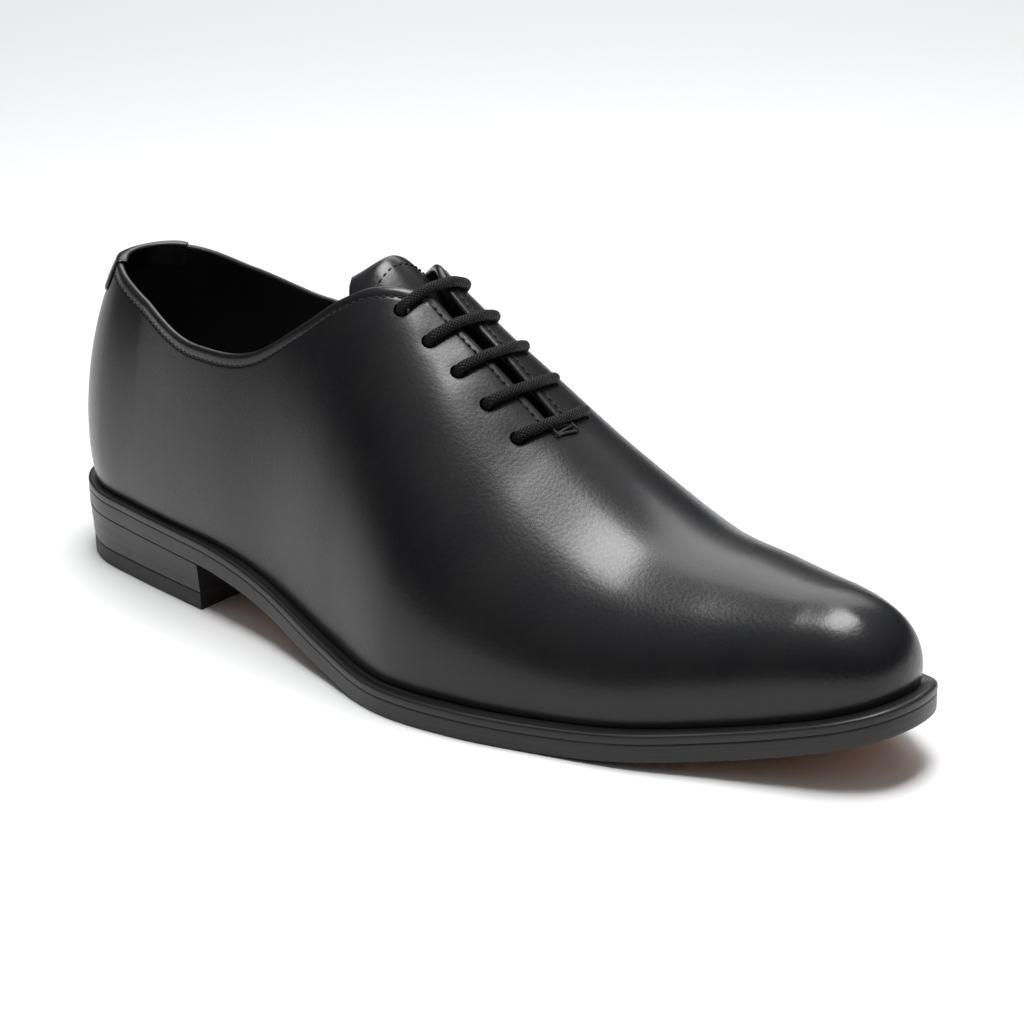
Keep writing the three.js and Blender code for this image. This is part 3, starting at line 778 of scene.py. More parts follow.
@dataclass(frozen=True)
class EdgeDressing:
    """Black dressed edge of welt, sole and heel, brushed lengthwise."""

    name: str = "dressed_edge"
    dark: tuple[float, float, float, float] = (0.006, 0.006, 0.0065, 1.0)
    light: tuple[float, float, float, float] = (0.020, 0.019, 0.019, 1.0)
    roughness: float = 0.40
    line_per_mm: float = 1.7
    line_depth: float = 0.00005

    def material(self) -> bpy.types.Material:
        """Makes the material."""
        surface = Surface(self.name)
        run = surface.attribute("along") * 0.012
        tall = surface.attribute("across") * self.line_per_mm
        lines = surface.noise(1.6, 3.0, surface.node(
            "ShaderNodeCombineXYZ", None, {"X": run, "Y": tall, "Z": 0.0}))
        speck = surface.noise(1400.0, 3.0)
        surface.set(
            Base_Color=surface.colour(lines.step(0.35, 0.75), self.dark, self.light),
            Roughness=self.roughness + (lines - 0.5) * 0.35 + (speck - 0.5) * 0.12,
            Specular_IOR_Level=0.38, Coat_Weight=0.1, Coat_Roughness=0.3,
            Normal=surface.bump(speck, 0.00002, 0.5, surface.bump(lines, self.line_depth, 0.8)),
        )
        return surface.material


@dataclass(frozen=True)
class SoleLeather:
    """Tan sole leather, burnished towards its edge."""

    name: str = "tan_sole_leather"
    pale: tuple[float, float, float, float] = (0.36, 0.17, 0.085, 1.0)
    deep: tuple[float, float, float, float] = (0.20, 0.080, 0.038, 1.0)
    burnt: tuple[float, float, float, float] = (0.020, 0.014, 0.011, 1.0)
    margin: float = 2.2

    def material(self) -> bpy.types.Material:
        """Makes the material."""
        surface = Surface(self.name)
        cloud = surface.noise(30.0, 4.0)
        fibre = surface.noise(900.0, 4.0, surface.stretched((0.35, 1.0, 1.0)))
        rim = 1.0 - surface.attribute("inset").step(self.margin, self.margin + 1.6)
        hide = surface.colour(cloud.step(0.3, 0.7), self.pale, self.deep)
        channel = 1.0 - (surface.attribute("inset") - 6.5).absolute().step(0.0, 0.45)
        surface.set(
            Base_Color=surface.node("ShaderNodeMix", {"data_type": "RGBA"},
                                    {0: rim, 6: hide, 7: self.burnt}, 2),
            Roughness=0.50 + (fibre - 0.5) * 0.25 - rim * 0.12,
            Normal=surface.bump(channel * -1.0, 0.0003, 0.8, surface.bump(fibre, 0.00005, 0.7)),
        )
        return surface.material


@dataclass(frozen=True)
class HeelRubber:
    """Matt black rubber of the top piece."""

    name: str = "heel_rubber"
    base: tuple[float, float, float, float] = (0.011, 0.011, 0.0115, 1.0)
    worn: tuple[float, float, float, float] = (0.022, 0.021, 0.021, 1.0)

    def material(self) -> bpy.types.Material:
        """Makes the material."""
        surface = Surface(self.name)
        speck = surface.noise(1900.0, 3.0)
        cloud = surface.noise(70.0, 3.0)
        surface.set(
            Base_Color=surface.colour(cloud.step(0.4, 0.75), self.base, self.worn),
            Roughness=0.58 + (speck - 0.5) * 0.2,
            Normal=surface.bump(speck, 0.00003, 0.8),
        )
        return surface.material


@dataclass(frozen=True)
class WaxedCord:
    """Round braided cotton lace, waxed."""

    name: str = "waxed_cord"
    dark: tuple[float, float, float, float] = (0.0018, 0.0018, 0.0020, 1.0)
    light: tuple[float, float, float, float] = (0.0060, 0.0060, 0.0063, 1.0)
    strands: float = 8.0
    braid_per_mm: float = 0.9
    depth: float = 0.00035

    def material(self) -> bpy.types.Material:
        """Makes the material."""
        surface = Surface(self.name)
        turn = surface.attribute("around") * (2 * math.pi * self.strands / 2)
        run = surface.attribute("along") * (2 * math.pi * self.braid_per_mm / 2)
        left = (turn + run).sine()
        right = (turn - run).sine()
        braid = (left * right).absolute() ** 0.6
        fluff = surface.noise(4200.0, 2.0)
        surface.set(
            Base_Color=surface.colour(braid, self.dark, self.light), Specular_IOR_Level=0.2,
            Roughness=0.52 + (fluff - 0.5) * 0.2 - braid * 0.08,
            Normal=surface.bump(fluff, 0.00003, 0.5, surface.bump(braid, self.depth, 0.9)),
        )
        return surface.material


@dataclass(frozen=True)
class Thread:
    """Waxed black sewing thread, twisted."""

    name: str = "waxed_thread"
    base: tuple[float, float, float, float] = (0.0025, 0.0025, 0.003, 1.0)
    shine: tuple[float, float, float, float] = (0.010, 0.010, 0.011, 1.0)

    def material(self) -> bpy.types.Material:
        """Makes the material."""
        surface = Surface(self.name)
        twist = (surface.attribute("around") * (4 * math.pi) + surface.attribute("along") * 9.0).sine()
        surface.set(
            Base_Color=surface.colour(twist.step(-1.0, 1.0), self.base, self.shine),
            Roughness=0.45 + twist * 0.05,
            Normal=surface.bump(twist, 0.00006, 0.8),
        )
        return surface.material


@dataclass
class Finishes:
    """Every finish of the shoe, made once."""

    calf: bpy.types.Material = field(default_factory=lambda: Calf().material())
    lining: bpy.types.Material = field(default_factory=lambda: Lining().material())
    edge: bpy.types.Material = field(default_factory=lambda: EdgeDressing().material())
    sole: bpy.types.Material = field(default_factory=lambda: SoleLeather().material())
    rubber: bpy.types.Material = field(default_factory=lambda: HeelRubber().material())
    lace: bpy.types.Material = field(default_factory=lambda: WaxedCord().material())
    thread: bpy.types.Material = field(default_factory=lambda: Thread().material())


# Lacing sizes that the upper, the tongue and the lace share


@dataclass
class Throat:
    """Sizes of the slit, its lace holes and the lace."""

    front: float = 0.507 * 300.0
    slit_width: float = 6.0
    slit_end_width: float = 3.4
    slit_length: float = 38.0
    hole_diameter: float = 4.3
    hole_offset: float = 13.3
    pitch: float = 9.5
    pairs: int = 5
    lace_diameter: float = 3.0
    first_hole: float = 0.507 * 300.0 - 0.6 * 4.6

    def hole_places(self) -> Array:
        """Places of the pairs of lace holes along the top line."""
        return self.first_hole + self.pitch * np.arange(self.pairs)

    def half_slit(self, x: Array) -> Array:
        """Half the slit's width at a place on the top line, closing roundly at its front end."""
        end = self.front + self.slit_length
        share = np.clip((x - self.front) / self.slit_length, 0, 1)
        half = (self.slit_width + (self.slit_end_width - self.slit_width) * share) / 2
        rounding = 2.5
        close = np.clip((x - (end - rounding)) / rounding, 0, 1)
        return half * np.sqrt(1 - close**2)


@dataclass
class Upper:
    """The hollow upper: outer leather, rolled edges, lining, lace holes and their stitching."""

    last: Last
    throat: Throat
    finishes: Finishes
    half_columns: int = 300
    body_rows: int = 64
    rim_rows: int = 5
    rim_rise: float = 1.0
    edge_rows: tuple[float, ...] = (0.0, 0.3, 0.6, 0.9, 1.25, 1.6, 1.9, 2.2, 2.5, 2.8, 3.1, 3.5, 4.1, 5.0)
    bead: float = 0.18
    groove: float = 0.18
    groove_at: float = 2.5

    def stations(self) -> Array:
        """Columns of the upper: closer together beside the slit, the same on both sides."""
        fine = np.linspace(0, self.last.last_station, 6000)
        foot, spine, _, _ = self.last.column(fine)
        mate = self.last.column(-fine)[0]
        step = (np.linalg.norm(np.diff(foot, axis=0), axis=1)
                + np.linalg.norm(np.diff(mate, axis=0), axis=1)) / 2
        x = spine[1:, 0]
        slit_end = self.throat.front + self.throat.slit_length
        dense = 1 + 1.0 * smoothstep(132, 142, x) * (1 - smoothstep(slit_end + 2, slit_end + 12, x))
        dense = dense + 2.5 * bell((x - slit_end) / 3)
        total = np.concatenate([[0], np.cumsum(step * dense)])
        half = np.interp(np.linspace(0, total[-1], self.half_columns + 1), total, fine)
        return np.concatenate([half, -half[-2:0:-1]])

    def layout(self) -> None:
        """Works out where each column ends, at the collar, at the slit or on the top line."""
        last = self.last
        self.station = self.stations()
        rises = np.linspace(0, 1, 241)
        dense = last.skin(self.station[:, None], rises[None])
        spine = last.column(self.station)[1]
        over = dense[..., 2] - last.collar_line(dense[..., 0], dense[..., 1])
        across = np.linalg.norm(dense[..., :2] - spine[:, None], axis=-1)
        half = self.throat.half_slit(spine[:, 0])

        def first(values: Array) -> Array:
            """Rise at which values first go above zero, in each column."""
            hit = np.argmax(values > 0, axis=1)
            none = ~np.any(values > 0, axis=1)
            row = np.arange(len(values))
            low, high = values[row, np.maximum(hit - 1, 0)], values[row, hit]
            share = np.where(high > low, -low / np.where(high > low, high - low, 1), 0)
            found = rises[np.maximum(hit - 1, 0)] + np.clip(share, 0, 1) * (rises[1] - rises[0])
            return np.where(none, 1.3, found)

        collar = first(over)
        slit = np.where(half > 1e-6, first(half[:, None] - across), 1.3)
        sharpness = 220.0
        both = -np.logaddexp(-sharpness * collar, -sharpness * slit) / sharpness
        self.top = np.clip(both, 0, 1)
        self.open = self.top < 0.9999
        self.top[~self.open] = 1.0
        self.collar_share = np.where(self.open, smoothstep(-0.02, 0.02, slit - collar), 0)
        protrusion = np.where(collar < slit, self.rim_rise, np.minimum(self.rim_rise, 0.7 * half))
        self.rim = np.where(self.open, protrusion, 0.0)
        lengths = np.concatenate(
            [np.zeros((len(dense), 1)), np.cumsum(np.linalg.norm(np.diff(dense, axis=1), axis=2), axis=1)], 1)
        near = np.array(self.edge_rows)
        rows, distance = [], []
        for j, (total, top) in enumerate(zip(lengths, self.top)):
            length = np.interp(top, rises, total)
            spread = np.linspace(0, 1, self.body_rows + 1)[1:]
            away = np.concatenate([near, near[-1] + (length - self.rim[j] - near[-1]) * spread])
            rows.append(np.interp(length - self.rim[j] - away, total, rises))
            distance.append(away)
        self.rise = np.array(rows)[:, ::-1]
        self.away = np.array(distance)[:, ::-1]

    def relief(self, points: Array) -> Array:
        """How far the leather stands out from the last: edges, grooves and puckers.

        Args:
            points: Points of the outer grid.

        Returns:
            The distance at each point.
        """
        d = self.away
        collar = self.collar_share[:, None]
        is_open = self.open[:, None].astype(float)
        facing = is_open * (1 - collar)
        out = self.bead * bell((d - 0.6) / 1.0) * collar
        out = out - self.groove * bell((d - self.groove_at) / 0.36) * collar
        out = out + 0.10 * bell((d - 0.5) / 0.7) * facing - 0.16 * bell((d - 1.7) / 0.38) * facing
        holes = self.throat.hole_places()
        for side in (-1, 1):
            for hole in self.last.instep(holes, side * self.throat.hole_offset, 0.0):
                far = np.linalg.norm(points - hole, axis=-1)
                out = out - 0.14 * bell(far / 3.0)
        return out

    def shell(self) -> Shell:
        """Mesh of the upper, closed, before the lace holes are cut.

        Returns:
            The mesh, with the lining marked 1.
        """
        last = self.last
        self.layout()
        station = self.station[:, None]
        skin = last.skin(station, self.rise)
        normal = last.normal(station, self.rise)
        mirror = (len(self.station) - np.arange(len(self.station))) % len(self.station)
        crest = unit(normal[:, -1] + normal[mirror, -1])
        spine_x = last.column(self.station)[1][:, 0]
        fan = spine_x >= last.sole_length - last.fan_toe - 1e-6
        crest[fan] = unit(crest[fan].sum(0))
        normal[~self.open, -1] = crest[~self.open]
        self.outer = skin + normal * self.relief(skin)[..., None]
        self.outward = normal
        inner = skin - normal * last.upper_wall
        floor = last.upper_bottom(inner[:, 0, 0]) + 0.02
        inner[:, 0, 2] = floor
        top_out, top_in = self.outer[:, -1], inner[:, -1]
        upward = unit(last.skin(self.station, np.minimum(self.top + 0.01, 1.0))
                      - last.skin(self.station, self.top - 0.02))
        turn = np.pi * np.arange(1, self.rim_rows + 1) / (self.rim_rows + 1)
        middle, half = (top_out + top_in) / 2, (top_out - top_in) / 2
        rim = (middle[:, None] + half[:, None] * np.cos(turn)[None, :, None]
               + (upward * self.rim[:, None])[:, None] * np.sin(turn)[None, :, None])
        self.rim_line = middle + upward * self.rim[:, None]
        inside_rows = inner[:, ::-1][:, ::2]
        if (inner.shape[1] - 1) % 2:
            inside_rows = np.concatenate([inside_rows, inner[:, :1]], 1)
        made = Shell()
        numbers = made.add(np.concatenate([self.outer, rim, inside_rows], 1))
        rows, glued = self.outer.shape[1], ~self.open
        ends = slice(rows - 1, rows + self.rim_rows + 1)
        source = np.minimum(np.arange(len(self.station)), mirror)
        numbers[glued, ends] = numbers[source[glued], ends]
        fan_first = int(np.argmax(fan))
        numbers[fan, ends] = numbers[fan_first, ends]
        both_glued = glued & np.roll(glued, -1)
        closed = np.concatenate([numbers, numbers[:, :1]], 1)
        ring = np.roll(closed, -1, 0)
        quads = np.stack([closed[:, :-1], ring[:, :-1], ring[:, 1:], closed[:, 1:]], -1)
        last_outer = rows - 1
        first_inner = rows + self.rim_rows
        made.extend(quads[:, :last_outer].reshape(-1, 4), 0)
        made.extend(quads[~both_glued, last_outer:first_inner].reshape(-1, 4), 0)
        made.extend(quads[:, first_inner:].reshape(-1, 4), 1)
        return made

    def cut_holes(self, made: bpy.types.Object) -> None:
        """Cuts the lace holes through the wall.

        Args:
            made: The upper.
        """
        cutters = Shell()
        holes = self.throat.hole_places()
        for side in (-1, 1):
            offset = side * self.throat.hole_offset
            starts = self.last.instep(holes, offset, -3.0)
            ends = self.last.instep(holes, offset, 4.5)
            for start, end in zip(starts, ends):
                turn = np.linspace(0, 2 * math.pi, 25)[:-1]
                axis = unit(start - end)
                first = unit(np.cross(axis, (1.0, 0.0, 0.0)))
                second = np.cross(axis, first)
                ring = (np.cos(turn)[:, None] * first + np.sin(turn)[:, None] * second)
                ring = ring * self.throat.hole_diameter / 2
                numbers = cutters.add(np.stack([end + ring, start + ring], 1))
                cutters.grid(numbers, wrap=True)
                cutters.extend(numbers[::-1, 0][None])
                cutters.extend(numbers[:, 1][None])
        cutter = bpy.data.meshes.new("hole_cutter")
        cutter.from_pydata(self.last.metres(np.concatenate(cutters.points)).tolist(), [], cutters.faces)
        tool = bpy.data.objects.new("hole_cutter", cutter)
        bpy.context.scene.collection.objects.link(tool)
        cut = made.modifiers.new("holes", "BOOLEAN")
        cut.operation, cut.object, cut.solver = "DIFFERENCE", tool, "MANIFOLD"
        bpy.context.view_layer.update()
        before = len(made.data.polygons)
        result = bpy.data.meshes.new_from_object(made.evaluated_get(bpy.context.evaluated_depsgraph_get()))
        log.info("upper: %d faces before the holes, %d after", before, len(result.polygons))
        made.modifiers.clear()
        if len(result.polygons) > before // 2:
            made.data = result
        made.data.polygons.foreach_set("use_smooth", [True] * len(made.data.polygons))
        made.data.set_sharp_from_angle(angle=math.radians(50))
        bpy.data.objects.remove(tool)

    def edge_path(self, distance: float, chosen: Array) -> tuple[Array, Array]:
        """Line on the outside at a distance under the open edge.

        Args:
            distance: Distance from the edge.
            chosen: Column numbers in order.

        Returns:
            The line's points and the directions out of the leather.
        """
        path = [[np.interp(distance, self.away[j, ::-1], self.outer[j, ::-1, k]) for k in range(3)]
                for j in chosen]
        row = int(np.argmin(np.abs(self.away[0] - distance)))
        return np.array(path), self.outward[chosen, row]

    def sewing(self) -> Shell:
        """Stitch rows round the collar and along both sides of the slit.

        Returns:
            The stitches' mesh.
        """
        made = Shell()
        count = len(self.station)
        order = (np.arange(count) + count // 2) % count
        collar = order[self.open[order] & (self.collar_share[order] > 0.6)]
        path, out = self.edge_path(self.groove_at, collar)
        stitches(made, path, out, 2.2, 1.6, 0.27)
        for sign in (1, -1):
            slit = [j for j in range(count)
                    if self.open[j] and self.collar_share[j] < 0.4 and self.station[j] * sign > 0]
            slit.sort(key=lambda j: abs(self.station[j]))
            path, out = self.edge_path(1.75, np.array(slit))
            stitches(made, path, out, 2.3, 1.8, 0.3)
        return made

    def build(self) -> None:
        """Makes the upper and its stitching."""
        made = Piece("upper_calf", self.shell(), self.last, Slot.CALF,
                     [self.finishes.calf, self.finishes.lining], ["upper"]).build()
        self.cut_holes(made)
        Piece("upper_stitching", self.sewing(), self.last, Slot.CALF, [self.finishes.thread]).build()


@dataclass
class Tongue:
    """The tongue under the slit, with its stitched upper edge."""

    last: Last
    throat: Throat
    finishes: Finishes
    width: float = 52.0
    above: float = 17.0
    below: float = 9.0
    drop: float = 3.8
    thickness: float = 1.8
    sweep_back: float = 7.0
    stitch_inset: float = 3.8

    def half_width(self, x: Array) -> Array:
        """Half the tongue's width at a place, rounded at its upper end."""
        start = self.throat.front - self.above
        share = np.clip((x - start) / (0.5 * self.above), 0, 1)
        return self.width / 2 * (0.58 + 0.42 * np.sqrt(1 - (1 - share) ** 2))

    def depth(self, x: Array) -> Array:
        """Depth of the tongue's upper face under the last's surface."""
        start, end = self.throat.front - self.above, self.throat.front + self.throat.slit_length
        dip = SmoothCurve(
            (start, self.throat.front - self.above / 3, end - self.below, end + self.below),
            (self.drop / 2, self.drop, self.drop, 2 * self.last.seam))
        return self.last.upper_wall + dip(x)

    def spot(self, share: Array, across: Array) -> tuple[Array, Array]:
        """Place and offset of a spot of the tongue: its upper edge sweeps back at both sides.

        Args:
            share: Share of the way from the upper edge to the lower one.
            across: Share of the half width, negative on the outer side.

        Returns:
            Place along the top line and offset from it.
        """
        start = self.throat.front - self.above
        end = self.throat.front + self.throat.slit_length + self.below
        x = start + (end - start) * share
        back = self.sweep_back * across**2 * (1 - share) ** 4
        return x - back, self.half_width(x) * across

    def build(self) -> None:
        """Makes the tongue and its stitching."""
        share = (np.linspace(0, 1, 70) ** 1.3)[:, None]
        v = np.sin(np.linspace(-math.pi / 2, math.pi / 2, 49))[None]
        x, offset = self.spot(share, v)
        rim = 1 - np.maximum(np.abs(v) ** 14, (1 - share) ** 60)
        middle = self.depth(x) + self.thickness / 2
        half = self.thickness / 2 * np.sqrt(np.clip(rim, 0, 1))
        upper = self.last.instep(x, offset, middle - half)
        lower = self.last.instep(x, offset, middle + half)
        made = Shell()
        top, under = made.add(upper), made.add(lower)
        made.grid(top)
        made.grid(under[:, ::-1], mark=1)
        made.grid(np.stack([under[0], top[0]], 0))
        made.grid(np.stack([top[-1], under[-1]], 0))
        made.grid(np.stack([top[:, 0], under[:, 0]], 0))
        made.grid(np.stack([under[:, -1], top[:, -1]], 0))
        Piece("tongue_calf", made, self.last, Slot.CALF,
              [self.finishes.calf, self.finishes.lining], ["tongue"]).build()
        row = np.linspace(-0.93, 0.93, 90)
        x, offset = self.spot(np.full(90, self.stitch_inset / (self.above + self.throat.slit_length)), row)
        path = self.last.instep(x, offset, self.depth(x))
        out = path - self.last.instep(x, offset, self.depth(x) + 1.0)
        sewing = Shell()
        stitches(sewing, path, out, 2.2, 1.6, 0.27)
        Piece("tongue_stitching", sewing, self.last, Slot.CALF, [self.finishes.thread]).build()


@dataclass
class Sole:
    """Welt, outsole and insole, each swept along the edge of the sole."""

    last: Last
    finishes: Finishes
    columns: int = 560
    lasting_margin: float = 12.0

    def stations(self) -> Array:
        """Evenly spread stations round the whole edge, the same on both sides."""
        fine = np.linspace(0, self.last.last_station, 4000)
        steps = (np.linalg.norm(np.diff(self.last.edge(fine), axis=0), axis=1)
                 + np.linalg.norm(np.diff(self.last.edge(-fine), axis=0), axis=1)) / 2
        total = np.concatenate([[0], np.cumsum(steps)])
        half = np.interp(np.linspace(0, total[-1], self.columns // 2 + 1), total, fine)
        return np.concatenate([half, -half[-2:0:-1]])

    def sweep(self, made: Shell, profile: Sequence[tuple[float, float]], base: Height,
              station: Array | None = None) -> Array:
        """Sweeps a profile along the edge.

        Args:
            made: The mesh under construction.
            profile: Insets from the edge and rises over the base height, from below to above.
            base: Height at a place along the sole.
            station: Stations to use instead of the whole edge.

        Returns:
            The point numbers, a column for each profile point.
        """
        station = self.stations() if station is None else station
        length = np.linalg.norm(np.diff(self.last.edge(station), axis=0), axis=1)
        along = np.concatenate([[0], np.cumsum(length)])
        inset = np.array([row[0] for row in profile])
        rise = np.array([row[1] for row in profile])
        plan = self.last.inset_edge(station[:, None], np.broadcast_to(inset, (len(station), len(inset))))
        height = base(self.last.edge(station)[:, 0])[:, None] + rise[None]
        runs = np.cumsum(np.hypot(np.diff(inset, prepend=inset[0]), np.diff(rise, prepend=rise[0])))
        return made.add(np.concatenate([plan, height[..., None]], -1),
                        along=along[:, None], across=runs[None], inset=inset[None])

    def inner_ring(self, made: Shell, reach: float, base: Height, rise: float) -> Array:
        """Ring under the upper, at a distance inside its foot line, kept clear of the middle."""
        station = self.stations()
        foot, _, outward, radius = self.last.column(station)
        plan = foot - outward * np.minimum(reach, 0.8 * radius)[:, None]
        height = base(plan[:, 0]) + rise
        return made.add(np.concatenate([plan, height[:, None]], 1), along=0.0, across=0.0, inset=reach)

    def ladder(self, made: Shell, ring: Array, base: Height, facing_down: bool, mark: int,
               rungs: int = 14) -> None:
        """Fills a ring of paired sides with cross rows that follow the base height.

        Args:
            made: The mesh under construction.
            ring: Point numbers of the ring, starting at the heel.
            base: Height at a place along the sole.
            facing_down: Whether the face looks down.
            mark: Material index of the faces.
            rungs: Faces in each cross row.
        """
        points = np.concatenate(made.points)
        half = len(ring) // 2
        outer = ring[1:half]
        inner = ring[:half:-1]
        share = np.linspace(0, 1, rungs + 1)[1:-1]
        a, b = points[outer][:, None], points[inner][:, None]
        between = a + (b - a) * share[None, :, None]
        between[..., 2] = base(between[..., 0])
        edge = np.minimum(share, 1 - share)[None] * np.linalg.norm(b - a, axis=-1)
        rim = float(made.values["inset"][-1][-1]) if "inset" in made.values else 0.0
        inset = edge + max(rim, 0.0)
        numbers = made.add(between, along=0.0, across=0.0, inset=inset)
        rows = np.concatenate([outer[:, None], numbers, inner[:, None]], 1)
        made.grid(rows[:, ::-1] if facing_down else rows, mark=mark)
        for tip, row in ((ring[0], rows[0]), (ring[half], rows[-1])):
            first = tip == ring[0]
            for k in range(rungs):
                face = [tip, row[k], row[k + 1]] if first != facing_down else [tip, row[k + 1], row[k]]
                made.extend(np.array([face]), mark)

    def build_welt(self) -> None:
        """Makes the welt: a ledge round the upper with a bevelled outer edge."""
        thick = self.last.welt_thickness
        profile = [
            (1.4, -0.2), (0.25, -0.2), (0.05, -0.16), (0.0, -0.05), (-0.03, 1.1), (0.0, thick - 0.75),
            (0.10, thick - 0.42), (0.42, thick - 0.12), (0.9, thick), (1.5, thick - 0.03),
            (2.2, thick - 0.08), (3.0, thick - 0.04),
        ]
        made = Shell()
        rows = self.sweep(made, profile, lambda x: self.last.outsole_top(x) + self.last.seam)
        inner = self.inner_ring(made, self.lasting_margin, self.last.welt_top, 0.0)
        low = self.inner_ring(made, self.lasting_margin, self.last.outsole_top, self.last.seam)
        made.grid(np.concatenate([rows, inner[:, None], low[:, None], rows[:, :1]], 1), wrap=True)
        Piece("welt_strip", made, self.last, Slot.EDGE, [self.finishes.edge], ["welt"]).build()

    def build_outsole(self) -> None:
        """Makes the outsole: a dressed edge and a tan underside."""
        thick = self.last.outsole_thickness
        profile = [
            (7.5, 0.0), (5.0, 0.0), (3.4, 0.0), (2.2, 0.0), (1.1, 0.0), (0.45, 0.04), (0.15, 0.16),
            (0.03, 0.42), (0.0, 1.0), (-0.04, 2.6), (-0.03, 3.6), (0.0, 4.3), (0.0, thick - 0.05),
            (0.06, thick + 0.02), (1.6, thick + 0.04),
        ]
        made = Shell()
        rows = self.sweep(made, profile, self.last.underside)
        made.grid(rows[:, :5], wrap=True, mark=1)
        made.grid(rows[:, 4:], wrap=True)
        self.ladder(made, rows[:, 0], self.last.underside, True, 1)
        self.ladder(made, rows[:, -1], lambda x: self.last.outsole_top(x) + 0.04, False, 0)
        Piece("outsole_leather", made, self.last, Slot.SOLE,
              [self.finishes.edge, self.finishes.sole], ["outsole"]).build()

    def build_insole(self) -> None:
        """Makes the insole board with its sock lining."""
        made = Shell()
        station = self.stations()
        foot, _, outward, radius = self.last.column(station)
        rings = []
        for reach, rise in ((4.2, -2.5), (2.25, -2.4), (2.15, -0.5), (2.5, -0.12), (3.6, 0.0)):
            plan = foot - outward * np.minimum(reach, 0.8 * radius)[:, None]
            height = self.last.insole_top(plan[:, 0]) + rise
            rings.append(np.concatenate([plan, height[:, None]], 1))
        rows = made.add(np.stack(rings, 1), inset=0.0, along=0.0, across=0.0)
        made.grid(rows, wrap=True)
        self.ladder(made, rows[:, -1], self.last.insole_top, False, 0)
        self.ladder(made, rows[:, 0], lambda x: self.last.insole_top(x) - 2.5, True, 0)
        Piece("sock_lining", made, self.last, Slot.SOCK, [self.finishes.lining], ["insole"]).build()

    def build(self) -> None:
        """Makes all three layers."""
        self.build_welt()
        self.build_outsole()
        self.build_insole()


@dataclass
class Heel:
    """Stacked heel with its rubber top piece."""

    last: Last
    finishes: Finishes
    taper: float = 0.8
    breast_hollow: float = 2.0
    top_piece: float = 5.2
    lifts: int = 3
    lift_line: float = 0.05
    side_points: int = 110
    breast_points: int = 24

    def ring(self, inset: float) -> Array:
        """Plan of the heel inside the sole's edge by an inset, cut off by its hollow breast.

        Args:
            inset: Distance inside the sole's edge.

        Returns:
            Plan points, the outer side first, then the breast and the inner side.
        """
        ends = []
        for side in (Side.OUTER, Side.INNER):
            ends.append(float(self.last.solve(
                lambda s, sign=side.value: self.last.inset_edge(s * sign, inset)[..., 0],
                np.array(self.last.heel_length), 0.0, self.last.last_station / 2)))
        outer = self.last.inset_edge(np.linspace(0, ends[0], self.side_points), inset)
        inner = self.last.inset_edge(-np.linspace(ends[1], 0, self.side_points)[:-1], inset)
        share = np.linspace(0, 1, self.breast_points + 1)[1:-1, None]
        breast = outer[-1] + (inner[0] - outer[-1]) * share
        breast[:, 0] -= self.breast_hollow * 4 * share[:, 0] * (1 - share[:, 0])
        return np.concatenate([outer, breast, inner])

    def block(self, name: str, rows: Sequence[tuple[float, Height]], slot: Slot,
              finish: bpy.types.Material, node: str) -> None:
        """Makes one layer block from rings at rising heights.

        Args:
            name: Name of the piece.
            rows: Inset and height function of each ring, from below to above.
            slot: Material slot.
            finish: The layer's finish.
            node: CAD node that it stands for.
        """
        made = Shell()
        rings, across = [], 0.0
        run = None
        for inset, height in rows:
            plan = self.ring(inset)
            if run is None:
                run = np.concatenate([[0], np.cumsum(np.linalg.norm(np.diff(plan, axis=0), axis=1))])
            tall = height(plan[:, 0])
            points = np.concatenate([plan, tall[:, None]], 1)
            rings.append(made.add(points, along=run, across=tall))
        made.grid(np.stack(rings, 1), wrap=True)
        made.extend(rings[0][::-1][None])
        made.extend(rings[-1][None])
        Piece(name, made, self.last, slot, [finish], [node], 30.0).build()

    def build(self) -> None:
        """Makes the stack with its lift lines, and the top piece."""
        def flat(height: float) -> Height:
            return lambda x: np.full(np.shape(x), height)

        rubber = [(self.taper + 1.2, flat(0.0)), (self.taper + 0.35, flat(0.0)), (self.taper + 0.08, flat(0.2)),
                  (self.taper, flat(0.6)), (self.taper - 0.05, flat(2.6)), (self.taper, flat(4.7)),
                  (self.taper + 0.12, flat(5.05)), (self.taper + 0.6, flat(self.top_piece))]
        self.block("heel_rubber_piece", rubber, Slot.RUBBER, self.finishes.rubber, "heel_top_piece")
        low = self.top_piece + 0.08

        def between(share: float) -> Height:
            return lambda x: low + (self.last.underside(x) - 0.05 - low) * share

        rows: list[tuple[float, Height]] = [(self.taper + 0.5, between(0.0)), (self.taper + 0.1, between(0.015))]
        for lift in range(self.lifts):
            start, end = lift / self.lifts, (lift + 1) / self.lifts
            inset = self.taper * (1 - end)
            rows.append((self.taper * (1 - start), between(start + 0.05)))
            rows.append((inset, between(end - 0.035)))
            rows.append((inset + self.lift_line, between(end)))
        rows.append((0.9, between(1.0)))
        self.block("heel_lifts", rows, Slot.EDGE, self.finishes.edge, "heel_stack")


